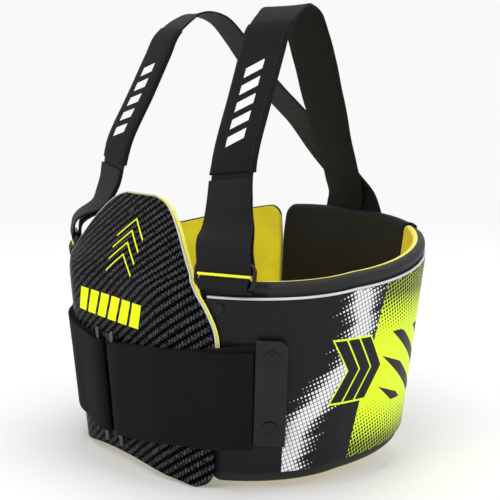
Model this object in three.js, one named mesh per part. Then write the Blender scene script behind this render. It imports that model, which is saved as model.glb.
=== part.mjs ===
// Rib protector for kart drivers: two hard side shells on padded liners, a chest plate,
// a padded back panel, two wide elastic belts and two shoulder straps crossed at the back.
// Millimetres, +Z up. The wearer faces -Y and the wearer's left is +X.
// The origin is the middle of the chest opening, level with the middle of the shells.

import * as THREE from 'three';

// Oval of the shells' outer face along their top edge
const TORSO_HALF_WIDTH = 172;
const TORSO_FRONT_DEPTH = 129;
const TORSO_BACK_DEPTH = 141;
const FRONT_ROUNDNESS = 1.92;
const BACK_ROUNDNESS = 2.73;
const WAIST_SHARE = 0.897;

// Heights of the shells' two edges at the front, the sides and the back
const SHELL_TOP = { front: 77, side: 81, back: 109 };
const SHELL_BOTTOM = { front: -69, side: -59, back: -41 };

// Side shells, with their ends as angles round the oval from the front centre
const SHELL_THICKNESS = 2.5;
const SHELL_FRONT_ANGLE = 30;
const SHELL_REAR_ANGLE = 146;
const SHELL_CORNER = 16;
const PIPING_SIZE = 2.2;
const PIPING_FRONT_ANGLE = 40;

// Padded liners inside the shells
const PAD_THICKNESS = 7.5;
const PAD_RIM_ABOVE = 14.2;
const PAD_BORDER_BELOW = 8.7;
const PAD_RIM_SET_BACK = 1.2;
const PAD_EDGE_ROUND = 3;
const PAD_CORNER = 12;
const PAD_FRONT_ANGLE = 39;
const LEFT_PAD_REAR_ANGLE = 152;
const RIGHT_PAD_REAR_ANGLE = 156;

// Back panel, whose left edge is a thin tongue outside the left liner
const PANEL_THICKNESS = 8.5;
const PANEL_SET_BACK = 0.5;
const PANEL_SEAM_GAP = 0.8;
const TONGUE_THICKNESS = 2;
const TONGUE_WIDTH = 10;

// Chest plate and the pad behind it
const PLATE_TOP = 148;
const PLATE_BOTTOM = -80;
const PLATE_HALF_WIDTH = 115.6;
const PLATE_THICKNESS = 2.2;
const PLATE_STAND_OFF = 5.9;
const PLATE_ARCH = 10.7;
const PLATE_LEAN_START = 88;
const PLATE_LEAN_SOFTNESS = 6;
const PLATE_LEAN = 0.5;
const PLATE_FLATTENING = { belts: 6.7, chest: 12 };
const PLATE_PIPING_SIZE = 1.8;
const CHEST_PAD_MARGIN = 3.4;
const CHEST_PAD_THICKNESS = 6.5;
const CHEST_PAD_THIN = 2;
const CHEST_PAD_GAP = 0.4;

// Elastic belts, folded round upright pins at the front centre
const BELT_WIDTH = 80;
const BELT_THICKNESS = 2;
const BELT_HEIGHT = { front: -12.4, bracket: -0.7 };
const BELT_FOLD_SLACK = 3;
const PIN_RADIUS = 1.8;
const PIN_SPACING = 24;
const PIN_OVERHANG = 10;

// Brackets that hold the belts on the shells
const BRACKET_BEYOND_PLATE = 17.2;
const BRACKET_WIDTH = 25;
const BRACKET_HEIGHT = 87;
const BRACKET_THICKNESS = 2.5;
const BRACKET_CORNER = 7;
const BRACKET_RISE = 3;
const FRAME_REACH = 30;
const RIVET_SPACING = 58;
const RIVET_RADIUS = 6.4;
const RIVET_HEIGHT = 2.6;

// Centre buckle that carries the two pins
const BUCKLE_BAR_WIDTH = 7;
const BUCKLE_THICKNESS = 1.6;
const BUCKLE_LUG_HEIGHT = 4.5;
const BUCKLE_RIVET_RADIUS = 2.6;
const BUCKLE_RIVET_HEIGHT = 1.2;
const BUCKLE_RIVET_SPACING = 50;

// Shoulder straps
const STRAP_WIDTH = 47;
const STRAP_THICKNESS = 1.8;
const STRAP_TOP = 303;
const STRAP_END_HEIGHT = 84;
const STRAP_CROSSING_LIFT = 3.6;
const TAIL_GAP = 0.4;
const TAIL_LOW_SHARE = 0.15;
const SLEEVE_WIDTH = 51;
const SLEEVE_WALL = 1.4;
const SLEEVE_EASE = 0.7;
const SLEEVE_LOW_SHARE = 0.405;
const SLEEVE_HIGH_SHARE = 0.93;

// Ladder locks and the webbing anchors below them
const LOCK_WIDTH = 53;
const LOCK_STAND_OFF = 2;
const LOCK_HEIGHT = 19.5;
const LOCK_DEPTH = 3.2;
const LOCK_BAR = 3.2;
const LOCK_CORNER = 5;
const LOCK_FACING = 26;
const LOCK_ANGLE = 45.3;
const LOCK_ABOVE_SHELL = 19.5;
const LOCK_TILT = 8;
const SLIDE_BAR_HEIGHT = 3;
const SLIDE_BAR_DEPTH = 2.8;
const ANCHOR_WIDTH = 43;
const ANCHOR_THICKNESS = 1.6;
const ANCHOR_TUCK = 17;
const ANCHOR_POCKET = 3;
const SHELL_RIVET_ANGLE = 43.3;
const SHELL_RIVET_RADIUS = 4.2;
const SHELL_RIVET_HEIGHT = 1.8;
const SHELL_RIVET_BELOW = 7;
const CHEST_RIVET_RADIUS = 2.6;
const CHEST_RIVET_HEIGHT = 1.2;
const CHEST_RIVET_BELOW_TOP = 14;

// Running clearance, and the facets that all pieces round the torso share
const GAP = 0.35;
const FACET_STEP = 15;
const MIN_FACET = 1.5;

const UP = new THREE.Vector3(0, 0, 1);
const LEFT = 1;
const RIGHT = -1;

const clamp = (value, low, high) => Math.min(Math.max(value, low), high);
const mix = (a, b, share) => a + (b - a) * share;
const signedPower = (value, power) => Math.sign(value) * Math.abs(value) ** power;
const radians = degrees => degrees * Math.PI / 180;

function smooth(value, low, high) {
  const share = clamp((value - low) / (high - low), 0, 1);
  return share * share * (3 - 2 * share);
}

// Height of an edge that is level at the front, the sides and the back
function edgeHeight(edge, angle) {
  const middle = (edge.front + edge.back + 2 * edge.side) / 4;
  const slope = (edge.front - edge.back) / 2;
  const dip = (edge.front + edge.back - 2 * edge.side) / 4;
  return middle + slope * Math.cos(angle) + dip * Math.cos(2 * angle);
}

const topAt = angle => edgeHeight(SHELL_TOP, angle);
const bottomAt = angle => edgeHeight(SHELL_BOTTOM, angle);

function taperAt(height, top, bottom) {
  const drop = clamp((top - height) / (top - bottom), 0, 1.2);
  return 1 - (1 - WAIST_SHARE) * drop;
}

// A point on the smooth torso form; depth counts inward from the shells' outer face
function smoothPoint(angle, depth, height) {
  const taper = taperAt(height, topAt(angle), bottomAt(angle));
  const front = Math.cos(angle) > 0;
  const reach = (front ? TORSO_FRONT_DEPTH : TORSO_BACK_DEPTH) * taper - depth;
  const power = 2 / (front ? FRONT_ROUNDNESS : BACK_ROUNDNESS);
  return new THREE.Vector3(
    (TORSO_HALF_WIDTH * taper - depth) * signedPower(Math.sin(angle), power),
    -reach * signedPower(Math.cos(angle), power),
    height,
  );
}

// Distance along the top edge from the front centre, tabled once for both directions
const ARC_TABLE = [{ angle: 0, arc: 0 }];
for (let step = 1; step <= 1440; step += 1) {
  const angle = radians(step / 4);
  const before = ARC_TABLE[step - 1];
  const from = smoothPoint(before.angle, 0, SHELL_TOP.back);
  const arc = before.arc + from.distanceTo(smoothPoint(angle, 0, SHELL_TOP.back));
  ARC_TABLE.push({ angle, arc });
}

function lookUp(value, from, to) {
  const after = ARC_TABLE.findIndex(row => row[from] >= value);
  const high = ARC_TABLE[Math.max(after, 1)];
  const low = ARC_TABLE[Math.max(after, 1) - 1];
  return mix(low[to], high[to], (value - low[from]) / (high[from] - low[from]));
}

const arcAt = degrees => lookUp(radians(degrees), 'angle', 'arc');
const angleAt = arc => lookUp(arc, 'arc', 'angle');

// A point on the faceted form, which lies between two of the shared facet edges
function formPoint(angle, depth, height) {
  const place = lookUp(angle, 'angle', 'arc') / FACET_STEP;
  const low = Math.floor(place);
  const from = smoothPoint(angleAt(low * FACET_STEP), depth, height);
  const to = smoothPoint(angleAt((low + 1) * FACET_STEP), depth, height);
  return from.lerp(to, place - low);
}

// How far a rounded corner has cut in, at a distance from the end
function cornerCut(distance, radius) {
  const inside = clamp(radius - distance, 0, radius);
  return radius - Math.sqrt(radius * radius - inside * inside);
}

// Places along a strip: the shared facet edges, both ends and some more where it is rounded
function stations(start, end, startCorner, endCorner, extra = []) {
  const places = [...extra];
  for (const share of [0.06, 0.25, 0.55]) {
    if (startCorner > 0) places.push(start + startCorner * share);
    if (endCorner > 0) places.push(end - endCorner * share);
  }
  for (let arc = Math.ceil(start / FACET_STEP) * FACET_STEP; arc < end; arc += FACET_STEP) {
    places.push(arc);
  }
  places.sort((a, b) => a - b);
  const kept = [start];
  for (const place of places) {
    const clear = place - kept[kept.length - 1] > MIN_FACET && end - place > MIN_FACET;
    if (clear) kept.push(place);
  }
  return [...kept, end];
}

function signedVolume(points, faces) {
  return faces.reduce((sum, [a, b, c]) =>
    sum + points[a].dot(new THREE.Vector3().crossVectors(points[b], points[c])), 0);
}

function geometryFrom(points, faces) {
  const outward = signedVolume(points, faces) > 0 ? faces : faces.map(([a, b, c]) => [a, c, b]);
  const geometry = new THREE.BufferGeometry();
  const positions = points.flatMap(point => [point.x, point.y, point.z]);
  geometry.setAttribute('position', new THREE.Float32BufferAttribute(positions, 3));
  geometry.setIndex(outward.flat());
  geometry.computeVertexNormals();
  return geometry;
}

// A closed solid through cross-sections, each with a front row and a back row of points
function loft(sections) {
  const width = sections[0].front.length;
  const loop = 2 * width;
  const points = sections.flatMap(({ front, back }) => [...front, ...[...back].reverse()]);
  const faces = [];
  for (let ring = 0; ring < sections.length - 1; ring += 1) {
    for (let index = 0; index < loop; index += 1) {
      const a = ring * loop + index;
      const b = ring * loop + (index + 1) % loop;
      if (index < width) faces.push([a, b, b + loop], [a, b + loop, a + loop]);
      else faces.push([a, b, a + loop], [b, b + loop, a + loop]);
    }
  }
  const last = (sections.length - 1) * loop;
  for (let index = 0; index < width - 1; index += 1) {
    const a = index;
    const b = index + 1;
    const c = loop - 2 - index;
    const d = loop - 1 - index;
    faces.push([a, c, b], [a, d, c]);
    faces.push([last + a, last + b, last + c], [last + a, last + c, last + d]);
  }
  return geometryFrom(points, faces);
}

// A closed sleeve: an outer and an inner tube of sections, joined at both mouths
function loftSleeve(outer, inner) {
  const loop = outer[0].length;
  const points = [...outer.flat(), ...inner.flat()];
  const shift = outer.length * loop;
  const faces = [];
  for (let ring = 0; ring < outer.length - 1; ring += 1) {
    for (let index = 0; index < loop; index += 1) {
      const a = ring * loop + index;
      const b = ring * loop + (index + 1) % loop;
      faces.push([a, b, b + loop], [a, b + loop, a + loop]);
      faces.push([a + shift, b + loop + shift, b + shift]);
      faces.push([a + shift, a + loop + shift, b + loop + shift]);
    }
  }
  const last = (outer.length - 1) * loop;
  for (let index = 0; index < loop; index += 1) {
    const next = (index + 1) % loop;
    faces.push([index, next + shift, next], [index, index + shift, next + shift]);
    faces.push([last + index, last + next, last + next + shift]);
    faces.push([last + index, last + next + shift, last + index + shift]);
  }
  return geometryFrom(points, faces);
}

function mirrored(point, side) {
  return new THREE.Vector3(point.x * side, point.y, point.z);
}

// Finishes
const finish = (color, roughness, metalness = 0) =>
  new THREE.MeshStandardMaterial({ color, roughness, metalness });

const FINISHES = {
  shell: finish(0x202024, 0.45),
  piping: finish(0xb8b8c0, 0.5),
  liner: finish(0xe0cc2a, 0.8),
  fabric: finish(0x141414, 0.85),
  carbon: finish(0x1a1a1c, 0.3),
  webbing: finish(0x101010, 0.8),
  elastic: finish(0x1a1a1a, 0.9),
  metal: finish(0x2a2a2c, 0.45, 0.6),
  pin: finish(0x9a9a9a, 0.35, 0.9),
  plastic: finish(0x151517, 0.5),
  yellowPlastic: finish(0xd8dc30, 0.5),
};

const assembly = new THREE.Group();

function addPiece(name, geometry, material, parent = assembly) {
  const mesh = new THREE.Mesh(geometry, material);
  mesh.name = name;
  parent.add(mesh);
  return mesh;
}

// Side shells
function shellGeometry(side) {
  const start = arcAt(SHELL_FRONT_ANGLE);
  const end = arcAt(SHELL_REAR_ANGLE);
  const rows = [0, 0.25, 0.5, 0.75, 1];
  const sections = stations(start, end, 0, SHELL_CORNER).map(arc => {
    const angle = angleAt(arc);
    const cut = cornerCut(end - arc, SHELL_CORNER);
    const wall = depth => rows.map(row => {
      const height = mix(bottomAt(angle) + cut, topAt(angle) - cut, row);
      return mirrored(formPoint(angle, depth, height), side);
    });
    return { front: wall(0), back: wall(SHELL_THICKNESS) };
  });
  return loft(sections);
}

// Piping along a shell's top edge
function shellPipingGeometry(side) {
  const start = arcAt(PIPING_FRONT_ANGLE);
  const end = arcAt(SHELL_REAR_ANGLE) - SHELL_CORNER;
  const profile = [
    { out: 0, up: 0 },
    { out: 0.16, up: 0.5 },
    { out: 0, up: 1 },
  ];
  const sections = stations(start, end, 0, 0).map(arc => {
    const angle = angleAt(arc);
    const edge = topAt(angle) + GAP;
    const place = (depth, up) =>
      mirrored(formPoint(angle, depth, edge + up * PIPING_SIZE), side);
    return {
      front: profile.map(row => place(-row.out * PIPING_SIZE, row.up)),
      back: profile.map(row => place((0.9 + row.out) * PIPING_SIZE, row.up)),
    };
  });
  return loft(sections);
}

// Where the strap anchor runs between shell and liner, the liner steps back
const POCKET_REACH = { flat: LOCK_WIDTH / 2 + 2, end: LOCK_WIDTH / 2 + 9 };

function anchorPocket(arc) {
  const away = Math.abs(arc - arcAt(LOCK_ANGLE));
  return ANCHOR_POCKET * (1 - smooth(away, POCKET_REACH.flat, POCKET_REACH.end));
}

// The rim stands out over the shell's edge, and lies flat behind the back panel's tongue
function rimSetBack(arc) {
  const shellEnd = arcAt(SHELL_REAR_ANGLE);
  const behind = smooth(arc, shellEnd - 8, shellEnd - 1);
  return mix(PAD_RIM_SET_BACK, SHELL_THICKNESS + GAP, behind);
}

// Padded liners
function padGeometry(side, rearAngle) {
  const start = arcAt(PAD_FRONT_ANGLE);
  const end = arcAt(rearAngle);
  const outerDepth = SHELL_THICKNESS + GAP;
  const innerDepth = outerDepth + PAD_THICKNESS;
  const middle = arcAt(LOCK_ANGLE);
  const { flat, end: ramp } = POCKET_REACH;
  const extra = [middle - ramp, middle - flat, middle + flat, middle + ramp];
  extra.push(arcAt(SHELL_REAR_ANGLE) - 8, arcAt(SHELL_REAR_ANGLE) - 1);
  const sections = stations(start, end, PAD_CORNER, PAD_CORNER, extra).map(arc => {
    const angle = angleAt(arc);
    const cut = cornerCut(Math.min(arc - start, end - arc), PAD_CORNER);
    const pocket = anchorPocket(arc);
    const rimDepth = rimSetBack(arc);
    const top = topAt(angle);
    const seat = top + 0.5 + PIPING_SIZE + GAP;
    const tuck = top - ANCHOR_TUCK;
    const rim = top + PAD_RIM_ABOVE - cut;
    const low = bottomAt(angle) - PAD_BORDER_BELOW + cut;
    const outerAt = height => mix(outerDepth, rimDepth, clamp((height - seat) / 3, 0, 1))
      + pocket * clamp((height - tuck + 9) / 6, 0, 1);
    const levels = [
      low,
      low + PAD_EDGE_ROUND,
      bottomAt(angle) + PAD_EDGE_ROUND,
      tuck - 9,
      tuck - 3,
      seat,
      seat + 3,
      rim - PAD_EDGE_ROUND,
      rim,
    ];
    const last = levels.length - 1;
    const heights = levels.map((level, row) =>
      clamp(level, low + row * 0.6, rim - (last - row) * 0.6));
    const rounded = (depth, row, share) =>
      (row === 0 || row === last ? mix(outerAt(heights[row]), innerDepth, share) : depth);
    const place = (depth, row) => mirrored(formPoint(angle, depth, heights[row]), side);
    const outer = heights.map((height, row) => place(rounded(outerAt(height), row, 0.35), row));
    const inner = heights.map((height, row) => place(rounded(innerDepth, row, 0.7), row));
    return { front: outer, back: inner };
  });
  return loft(sections);
}

// Back panel
function backPanelGeometry() {
  const leftSeam = arcAt(LEFT_PAD_REAR_ANGLE) + PANEL_SEAM_GAP;
  const end = arcAt(360 - RIGHT_PAD_REAR_ANGLE) - PANEL_SEAM_GAP;
  const start = leftSeam - TONGUE_WIDTH;
  const places = [
    ...stations(start, leftSeam, 0, 0),
    ...stations(leftSeam + 1.5, end, 0, PAD_CORNER),
  ];
  const sections = places.map(arc => {
    const angle = angleAt(arc);
    const cut = cornerCut(end - arc, PAD_CORNER);
    const rim = topAt(angle) + PAD_RIM_ABOVE - cut;
    const low = bottomAt(angle) - PAD_BORDER_BELOW + cut;
    const thick = arc > leftSeam ? PANEL_THICKNESS : TONGUE_THICKNESS;
    const round = Math.min(PAD_EDGE_ROUND, thick / 2);
    const place = (depth, height) => formPoint(angle, depth, height);
    const kink = topAt(angle);
    const front = PANEL_SET_BACK;
    const back = front + thick;
    return {
      front: [
        place(mix(front, back, 0.3), low),
        place(front, low + round),
        place(front, kink),
        place(front, rim - round),
        place(mix(front, back, 0.3), rim),
      ],
      back: [
        place(mix(front, back, 0.7), low),
        place(back, low + round),
        place(back, kink),
        place(back, rim - round),
        place(mix(front, back, 0.7), rim),
      ],
    };
  });
  return loft(sections);
}

// Depth of the torso form at a place across the front or the back
function surfaceDepth(across, height, offset, back = false) {
  const reach = back ? TORSO_BACK_DEPTH : TORSO_FRONT_DEPTH;
  const power = back ? BACK_ROUNDNESS : FRONT_ROUNDNESS;
  const top = back ? SHELL_TOP.back : SHELL_TOP.front;
  const bottom = back ? SHELL_BOTTOM.back : SHELL_BOTTOM.front;
  const taper = taperAt(height, top, bottom);
  const share = Math.abs(across) / (TORSO_HALF_WIDTH * taper + offset);
  return (reach * taper + offset) * (1 - share ** power) ** (1 / power);
}

// The chest is flatter than the oval, and its upper part leans back
function plateFlattening(across, height) {
  const { belts, chest } = PLATE_FLATTENING;
  const shellEnd = smoothPoint(radians(SHELL_FRONT_ANGLE), 0, height).x - 9;
  const amount = mix(belts, chest, smooth(height, BELT_WIDTH * 0.4, BELT_WIDTH * 0.9));
  const above = smooth(height, SHELL_TOP.front + 3, SHELL_TOP.front + 19);
  const reach = mix(shellEnd, PLATE_HALF_WIDTH, above);
  return amount * Math.max(0, 1 - (across / reach) ** 2) ** 1.5;
}

function plateLean(height) {
  const rise = height - PLATE_LEAN_START;
  return PLATE_LEAN * 0.5 * (rise + Math.hypot(rise, PLATE_LEAN_SOFTNESS));
}

function platePoint(across, height, behind) {
  const depth = surfaceDepth(across, height, PLATE_STAND_OFF)
    - plateFlattening(across, height) - plateLean(height);
  return new THREE.Vector3(across, behind - depth, height);
}

// Outline of the chest plate: how wide it is at each share of its height, and the share of the
// pad's full margin that shows beyond it, less where the strap anchors pass
const PLATE_ROWS = [
  { up: 0, reach: 0.78, margin: 1 },
  { up: 0.013, reach: 0.845, margin: 1 },
  { up: 0.044, reach: 0.895, margin: 1 },
  { up: 0.12, reach: 0.912, margin: 1 },
  { up: 0.28, reach: 0.947, margin: 1 },
  { up: 0.44, reach: 0.984, margin: 1 },
  { up: 0.526, reach: 1, margin: 1 },
  { up: 0.57, reach: 0.992, margin: 1 },
  { up: 0.614, reach: 0.968, margin: 0.9 },
  { up: 0.658, reach: 0.931, margin: 0.75 },
  { up: 0.702, reach: 0.878, margin: 0.5 },
  { up: 0.746, reach: 0.82, margin: 0.5 },
  { up: 0.79, reach: 0.745, margin: 0.9 },
  { up: 0.835, reach: 0.668, margin: 1 },
  { up: 0.88, reach: 0.588, margin: 1 },
  { up: 0.92, reach: 0.505, margin: 1 },
  { up: 0.96, reach: 0.405, margin: 1 },
  { up: 0.985, reach: 0.31, margin: 1 },
  { up: 1, reach: 0.2, margin: 1 },
];

// The bottom edge arches up between two lobes, and the arch fades out at mid height
function plateHeight(row, across) {
  const height = mix(PLATE_BOTTOM, PLATE_TOP, row.up);
  const fade = clamp(height / PLATE_BOTTOM, 0, 1);
  const lobe = 0.76 * PLATE_HALF_WIDTH;
  return height + PLATE_ARCH * fade * Math.max(0, 1 - (across / lobe) ** 2);
}

function chestSheet(margin, faceBehind, thicknessAt) {
  const columns = 14;
  const sections = PLATE_ROWS.map(row => {
    const end = row.up === 0 ? -1 : row.up === 1 ? 1 : 0;
    const reach = row.reach * PLATE_HALF_WIDTH;
    const points = [];
    for (let column = 0; column <= columns; column += 1) {
      const spread = Math.sin((column / columns - 0.5) * Math.PI * 0.8) / Math.sin(Math.PI * 0.4);
      const beyond = Math.abs(spread) > 0.99 ? Math.sign(spread) * margin * row.margin : 0;
      const across = reach * spread + beyond;
      const height = plateHeight(row, across) + end * margin;
      points.push({ across, height });
    }
    return {
      front: points.map(({ across, height }) => platePoint(across, height, faceBehind)),
      back: points.map(({ across, height }) =>
        platePoint(across, height, faceBehind + thicknessAt(across, height))),
    };
  });
  return loft(sections);
}

function chestPadThickness(across, height) {
  const shellEnd = smoothPoint(radians(SHELL_FRONT_ANGLE), SHELL_THICKNESS, height).x;
  const between = 1 - smooth(Math.abs(across), shellEnd - 18, shellEnd - 7);
  const rim = SHELL_TOP.front + PAD_RIM_ABOVE;
  const above = smooth(height, rim + 2, rim + 12);
  return mix(CHEST_PAD_THIN, CHEST_PAD_THICKNESS, Math.max(between, above));
}

// Piping round the plate's edge, from the left belt over the top to the right belt
function platePipingGeometry() {
  const away = GAP + 0.2 + PLATE_PIPING_SIZE / 2;
  const upper = PLATE_ROWS.filter(row => row.up > 0.044);
  const edge = upper.map(row => {
    const across = row.reach * PLATE_HALF_WIDTH + away * (row.up === 1 ? 0 : 1);
    const lift = row.up > 0.95 ? away * smooth(row.up, 0.95, 1) : 0;
    return platePoint(across, plateHeight(row, across) + lift, PLATE_THICKNESS / 2);
  });
  const path = new THREE.CatmullRomCurve3([
    ...edge,
    ...[...edge].reverse().map(point => mirrored(point, -1)),
  ]);
  const circle = new THREE.Shape();
  circle.absarc(0, 0, PLATE_PIPING_SIZE / 2, 0, Math.PI * 2);
  return new THREE.ExtrudeGeometry(circle, { extrudePath: path, steps: 50, curveSegments: 3 });
}

// Elastic belts, whose brackets keep their distance from the plate's edge round the form
const PLATE_EDGE_ANGLE = Math.asin(PLATE_HALF_WIDTH / TORSO_HALF_WIDTH);
const BRACKET_ANGLE = THREE.MathUtils.radToDeg(PLATE_EDGE_ANGLE) + BRACKET_BEYOND_PLATE;

function beltHeight(angle) {
  const share = Math.sin(angle) / Math.sin(radians(BRACKET_ANGLE));
  return mix(BELT_HEIGHT.front, BELT_HEIGHT.bracket, clamp(share, 0, 1));
}

// The belt lies on the plate, and steps down to the shell beyond the plate's edge
function beltPoint(angle, offset, height) {
  const onShell = smoothPoint(angle, -offset, height);
  const onPlate = smoothPoint(angle, -(PLATE_STAND_OFF + offset), height);
  if (onPlate.x < PLATE_HALF_WIDTH) {
    const depth = surfaceDepth(onPlate.x, height, PLATE_STAND_OFF + offset);
    onPlate.y = plateFlattening(onPlate.x, height) - depth;
  }
  const off = smooth(angle, PLATE_EDGE_ANGLE + radians(1.5), PLATE_EDGE_ANGLE + radians(9));
  return onPlate.lerp(onShell, off);
}

const INNER_LAYER = GAP + BELT_THICKNESS / 2;
const LAYER_STEP = BELT_THICKNESS + GAP;
const FOLD_STEP = 2 * (PIN_RADIUS + GAP) + BELT_THICKNESS;

function pinCentre(height) {
  const face = platePoint(PIN_SPACING / 2, height, 0).y;
  return new THREE.Vector3(PIN_SPACING / 2, face - INNER_LAYER - FOLD_STEP / 2, height);
}

// One row of points along a belt: out on the inner layer, round the pin, back on the outer
function beltRow(level) {
  const points = [];
  const foldAngle = Math.asin(PIN_SPACING / 2 / TORSO_HALF_WIDTH) + radians(0.6);
  const innerEnd = angleAt(arcAt(BRACKET_ANGLE) + BRACKET_WIDTH / 2 - 2);
  const outerEnd = angleAt(arcAt(BRACKET_ANGLE) - BRACKET_WIDTH / 2 - 1.5);
  const steps = 16;
  for (let step = 0; step < steps; step += 1) {
    const angle = mix(innerEnd, foldAngle, step / steps);
    points.push(beltPoint(angle, INNER_LAYER, beltHeight(angle) + level));
  }
  const height = beltHeight(0) + level;
  const centre = pinCentre(height);
  for (let step = 0; step <= 6; step += 1) {
    const turn = mix(0, Math.PI, step / 6);
    const along = Math.sin(turn) * (FOLD_STEP / 2 + BELT_FOLD_SLACK);
    const out = -Math.cos(turn) * FOLD_STEP / 2;
    points.push(new THREE.Vector3(centre.x - along, centre.y - out, height));
  }
  for (let step = 1; step <= steps; step += 1) {
    const angle = mix(foldAngle, outerEnd, step / steps);
    const spread = mix(FOLD_STEP, LAYER_STEP, smooth(step, 0, 5));
    points.push(beltPoint(angle, INNER_LAYER + spread, beltHeight(angle) + level));
  }
  return points;
}

// A ribbon's two faces, from a row of points along its low edge and one along its high edge
function ribbonSections(low, high, thickness) {
  return low.map((point, index) => {
    const before = low[Math.max(index - 1, 0)];
    const after = low[Math.min(index + 1, low.length - 1)];
    const along = new THREE.Vector3().subVectors(after, before);
    const across = new THREE.Vector3().subVectors(high[index], point);
    const normal = new THREE.Vector3().crossVectors(along, across).setLength(thickness / 2);
    return {
      front: [point.clone().add(normal), high[index].clone().add(normal)],
      back: [point.clone().sub(normal), high[index].clone().sub(normal)],
    };
  });
}

function beltGeometry(side) {
  const low = beltRow(-BELT_WIDTH / 2).map(point => mirrored(point, side));
  const high = beltRow(BELT_WIDTH / 2).map(point => mirrored(point, side));
  return loft(ribbonSections(low, high, BELT_THICKNESS));
}

// A frame on the torso form: across, up along the surface, and outward
function surfaceFrame(angle, offset, height, side) {
  const origin = mirrored(formPoint(angle, -offset, height), side);
  const above = mirrored(formPoint(angle, -offset, height + FRAME_REACH), side);
  const below = mirrored(formPoint(angle, -offset, height - FRAME_REACH), side);
  const ahead = mirrored(formPoint(angle + 0.04, -offset, height), side);
  const behind = mirrored(formPoint(angle - 0.04, -offset, height), side);
  const up = above.sub(below).normalize();
  const across = ahead.sub(behind).multiplyScalar(side);
  const out = new THREE.Vector3().crossVectors(across, up).normalize();
  across.crossVectors(up, out);
  return new THREE.Matrix4().makeBasis(across, up, out).setPosition(origin);
}

// Outline with one rounded upper corner on the side away from the belt
function bracketGeometry(side) {
  const half = BRACKET_WIDTH / 2;
  const low = -BRACKET_HEIGHT / 2;
  const high = BRACKET_HEIGHT / 2;
  const outline = new THREE.Shape();
  outline.moveTo(-half * side, low);
  outline.lineTo(half * side, low);
  outline.lineTo(half * side, high - BRACKET_CORNER);
  const middle = [(half - BRACKET_CORNER) * side, high - BRACKET_CORNER];
  if (side === LEFT) outline.absarc(...middle, BRACKET_CORNER, 0, Math.PI / 2, false);
  else outline.absarc(...middle, BRACKET_CORNER, Math.PI, Math.PI / 2, true);
  outline.lineTo(-half * side, high);
  return new THREE.ExtrudeGeometry(outline, {
    depth: BRACKET_THICKNESS,
    bevelEnabled: false,
    curveSegments: 5,
  });
}

function rivetGeometry(radius, height) {
  const profile = [
    new THREE.Vector2(0, 0),
    new THREE.Vector2(radius, 0),
    new THREE.Vector2(radius, height * 0.3),
    new THREE.Vector2(radius * 0.8, height * 0.8),
    new THREE.Vector2(0, height),
  ];
  return new THREE.LatheGeometry(profile, 12).rotateX(Math.PI / 2);
}

const BRACKET_STAND_OFF = 2 * GAP + BELT_THICKNESS + 0.4;

function addBracket(word, side) {
  const angle = radians(BRACKET_ANGLE);
  const height = BELT_HEIGHT.bracket + BRACKET_RISE;
  const group = new THREE.Group();
  group.applyMatrix4(surfaceFrame(angle, BRACKET_STAND_OFF, height, side));
  assembly.add(group);
  addPiece(`${word}_belt_bracket`, bracketGeometry(side), FINISHES.metal, group);
  const places = [
    { name: 'upper', level: 0.5 },
    { name: 'lower', level: -0.5 },
  ];
  for (const { name, level } of places) {
    const geometry = rivetGeometry(RIVET_RADIUS, RIVET_HEIGHT);
    const rivet = addPiece(`${word}_bracket_rivet_${name}`, geometry, FINISHES.metal, group);
    rivet.position.set(0, level * RIVET_SPACING, BRACKET_THICKNESS + GAP);
  }
}

// Centre buckle: a narrow bar between the belt folds, with lugs that take the pins' ends
const LUG_END_ANGLE = Math.asin((PIN_SPACING / 2 + 3 * PIN_RADIUS) / TORSO_HALF_WIDTH);
const LUG_HIGH = beltHeight(LUG_END_ANGLE) + BELT_WIDTH / 2 + GAP + BUCKLE_LUG_HEIGHT / 2;
const LUG_LOW = BELT_HEIGHT.front - BELT_WIDTH / 2 - GAP - BUCKLE_LUG_HEIGHT / 2;

function buckleFrame() {
  const middle = (LUG_HIGH + LUG_LOW) / 2;
  const high = platePoint(0, LUG_HIGH, 0);
  const low = platePoint(0, LUG_LOW, 0);
  const up = new THREE.Vector3().subVectors(high, low).normalize();
  const across = new THREE.Vector3(1, 0, 0);
  const out = new THREE.Vector3().crossVectors(across, up);
  const origin = new THREE.Vector3(0, (high.y + low.y) / 2, middle);
  origin.addScaledVector(out, GAP + 0.5);
  return new THREE.Matrix4().makeBasis(across, up, out).setPosition(origin);
}

function buckleGeometry() {
  const bar = BUCKLE_BAR_WIDTH / 2;
  const lug = PIN_SPACING / 2 + PIN_RADIUS + 2.4;
  const top = (LUG_HIGH - LUG_LOW) / 2 + BUCKLE_LUG_HEIGHT / 2;
  const neck = top - BUCKLE_LUG_HEIGHT;
  const outline = new THREE.Shape([
    new THREE.Vector2(-lug, -top),
    new THREE.Vector2(lug, -top),
    new THREE.Vector2(lug, -neck),
    new THREE.Vector2(bar, -neck),
    new THREE.Vector2(bar, neck),
    new THREE.Vector2(lug, neck),
    new THREE.Vector2(lug, top),
    new THREE.Vector2(-lug, top),
    new THREE.Vector2(-lug, neck),
    new THREE.Vector2(-bar, neck),
    new THREE.Vector2(-bar, -neck),
    new THREE.Vector2(-lug, -neck),
  ]);
  return new THREE.ExtrudeGeometry(outline, { depth: BUCKLE_THICKNESS, bevelEnabled: false });
}

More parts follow.
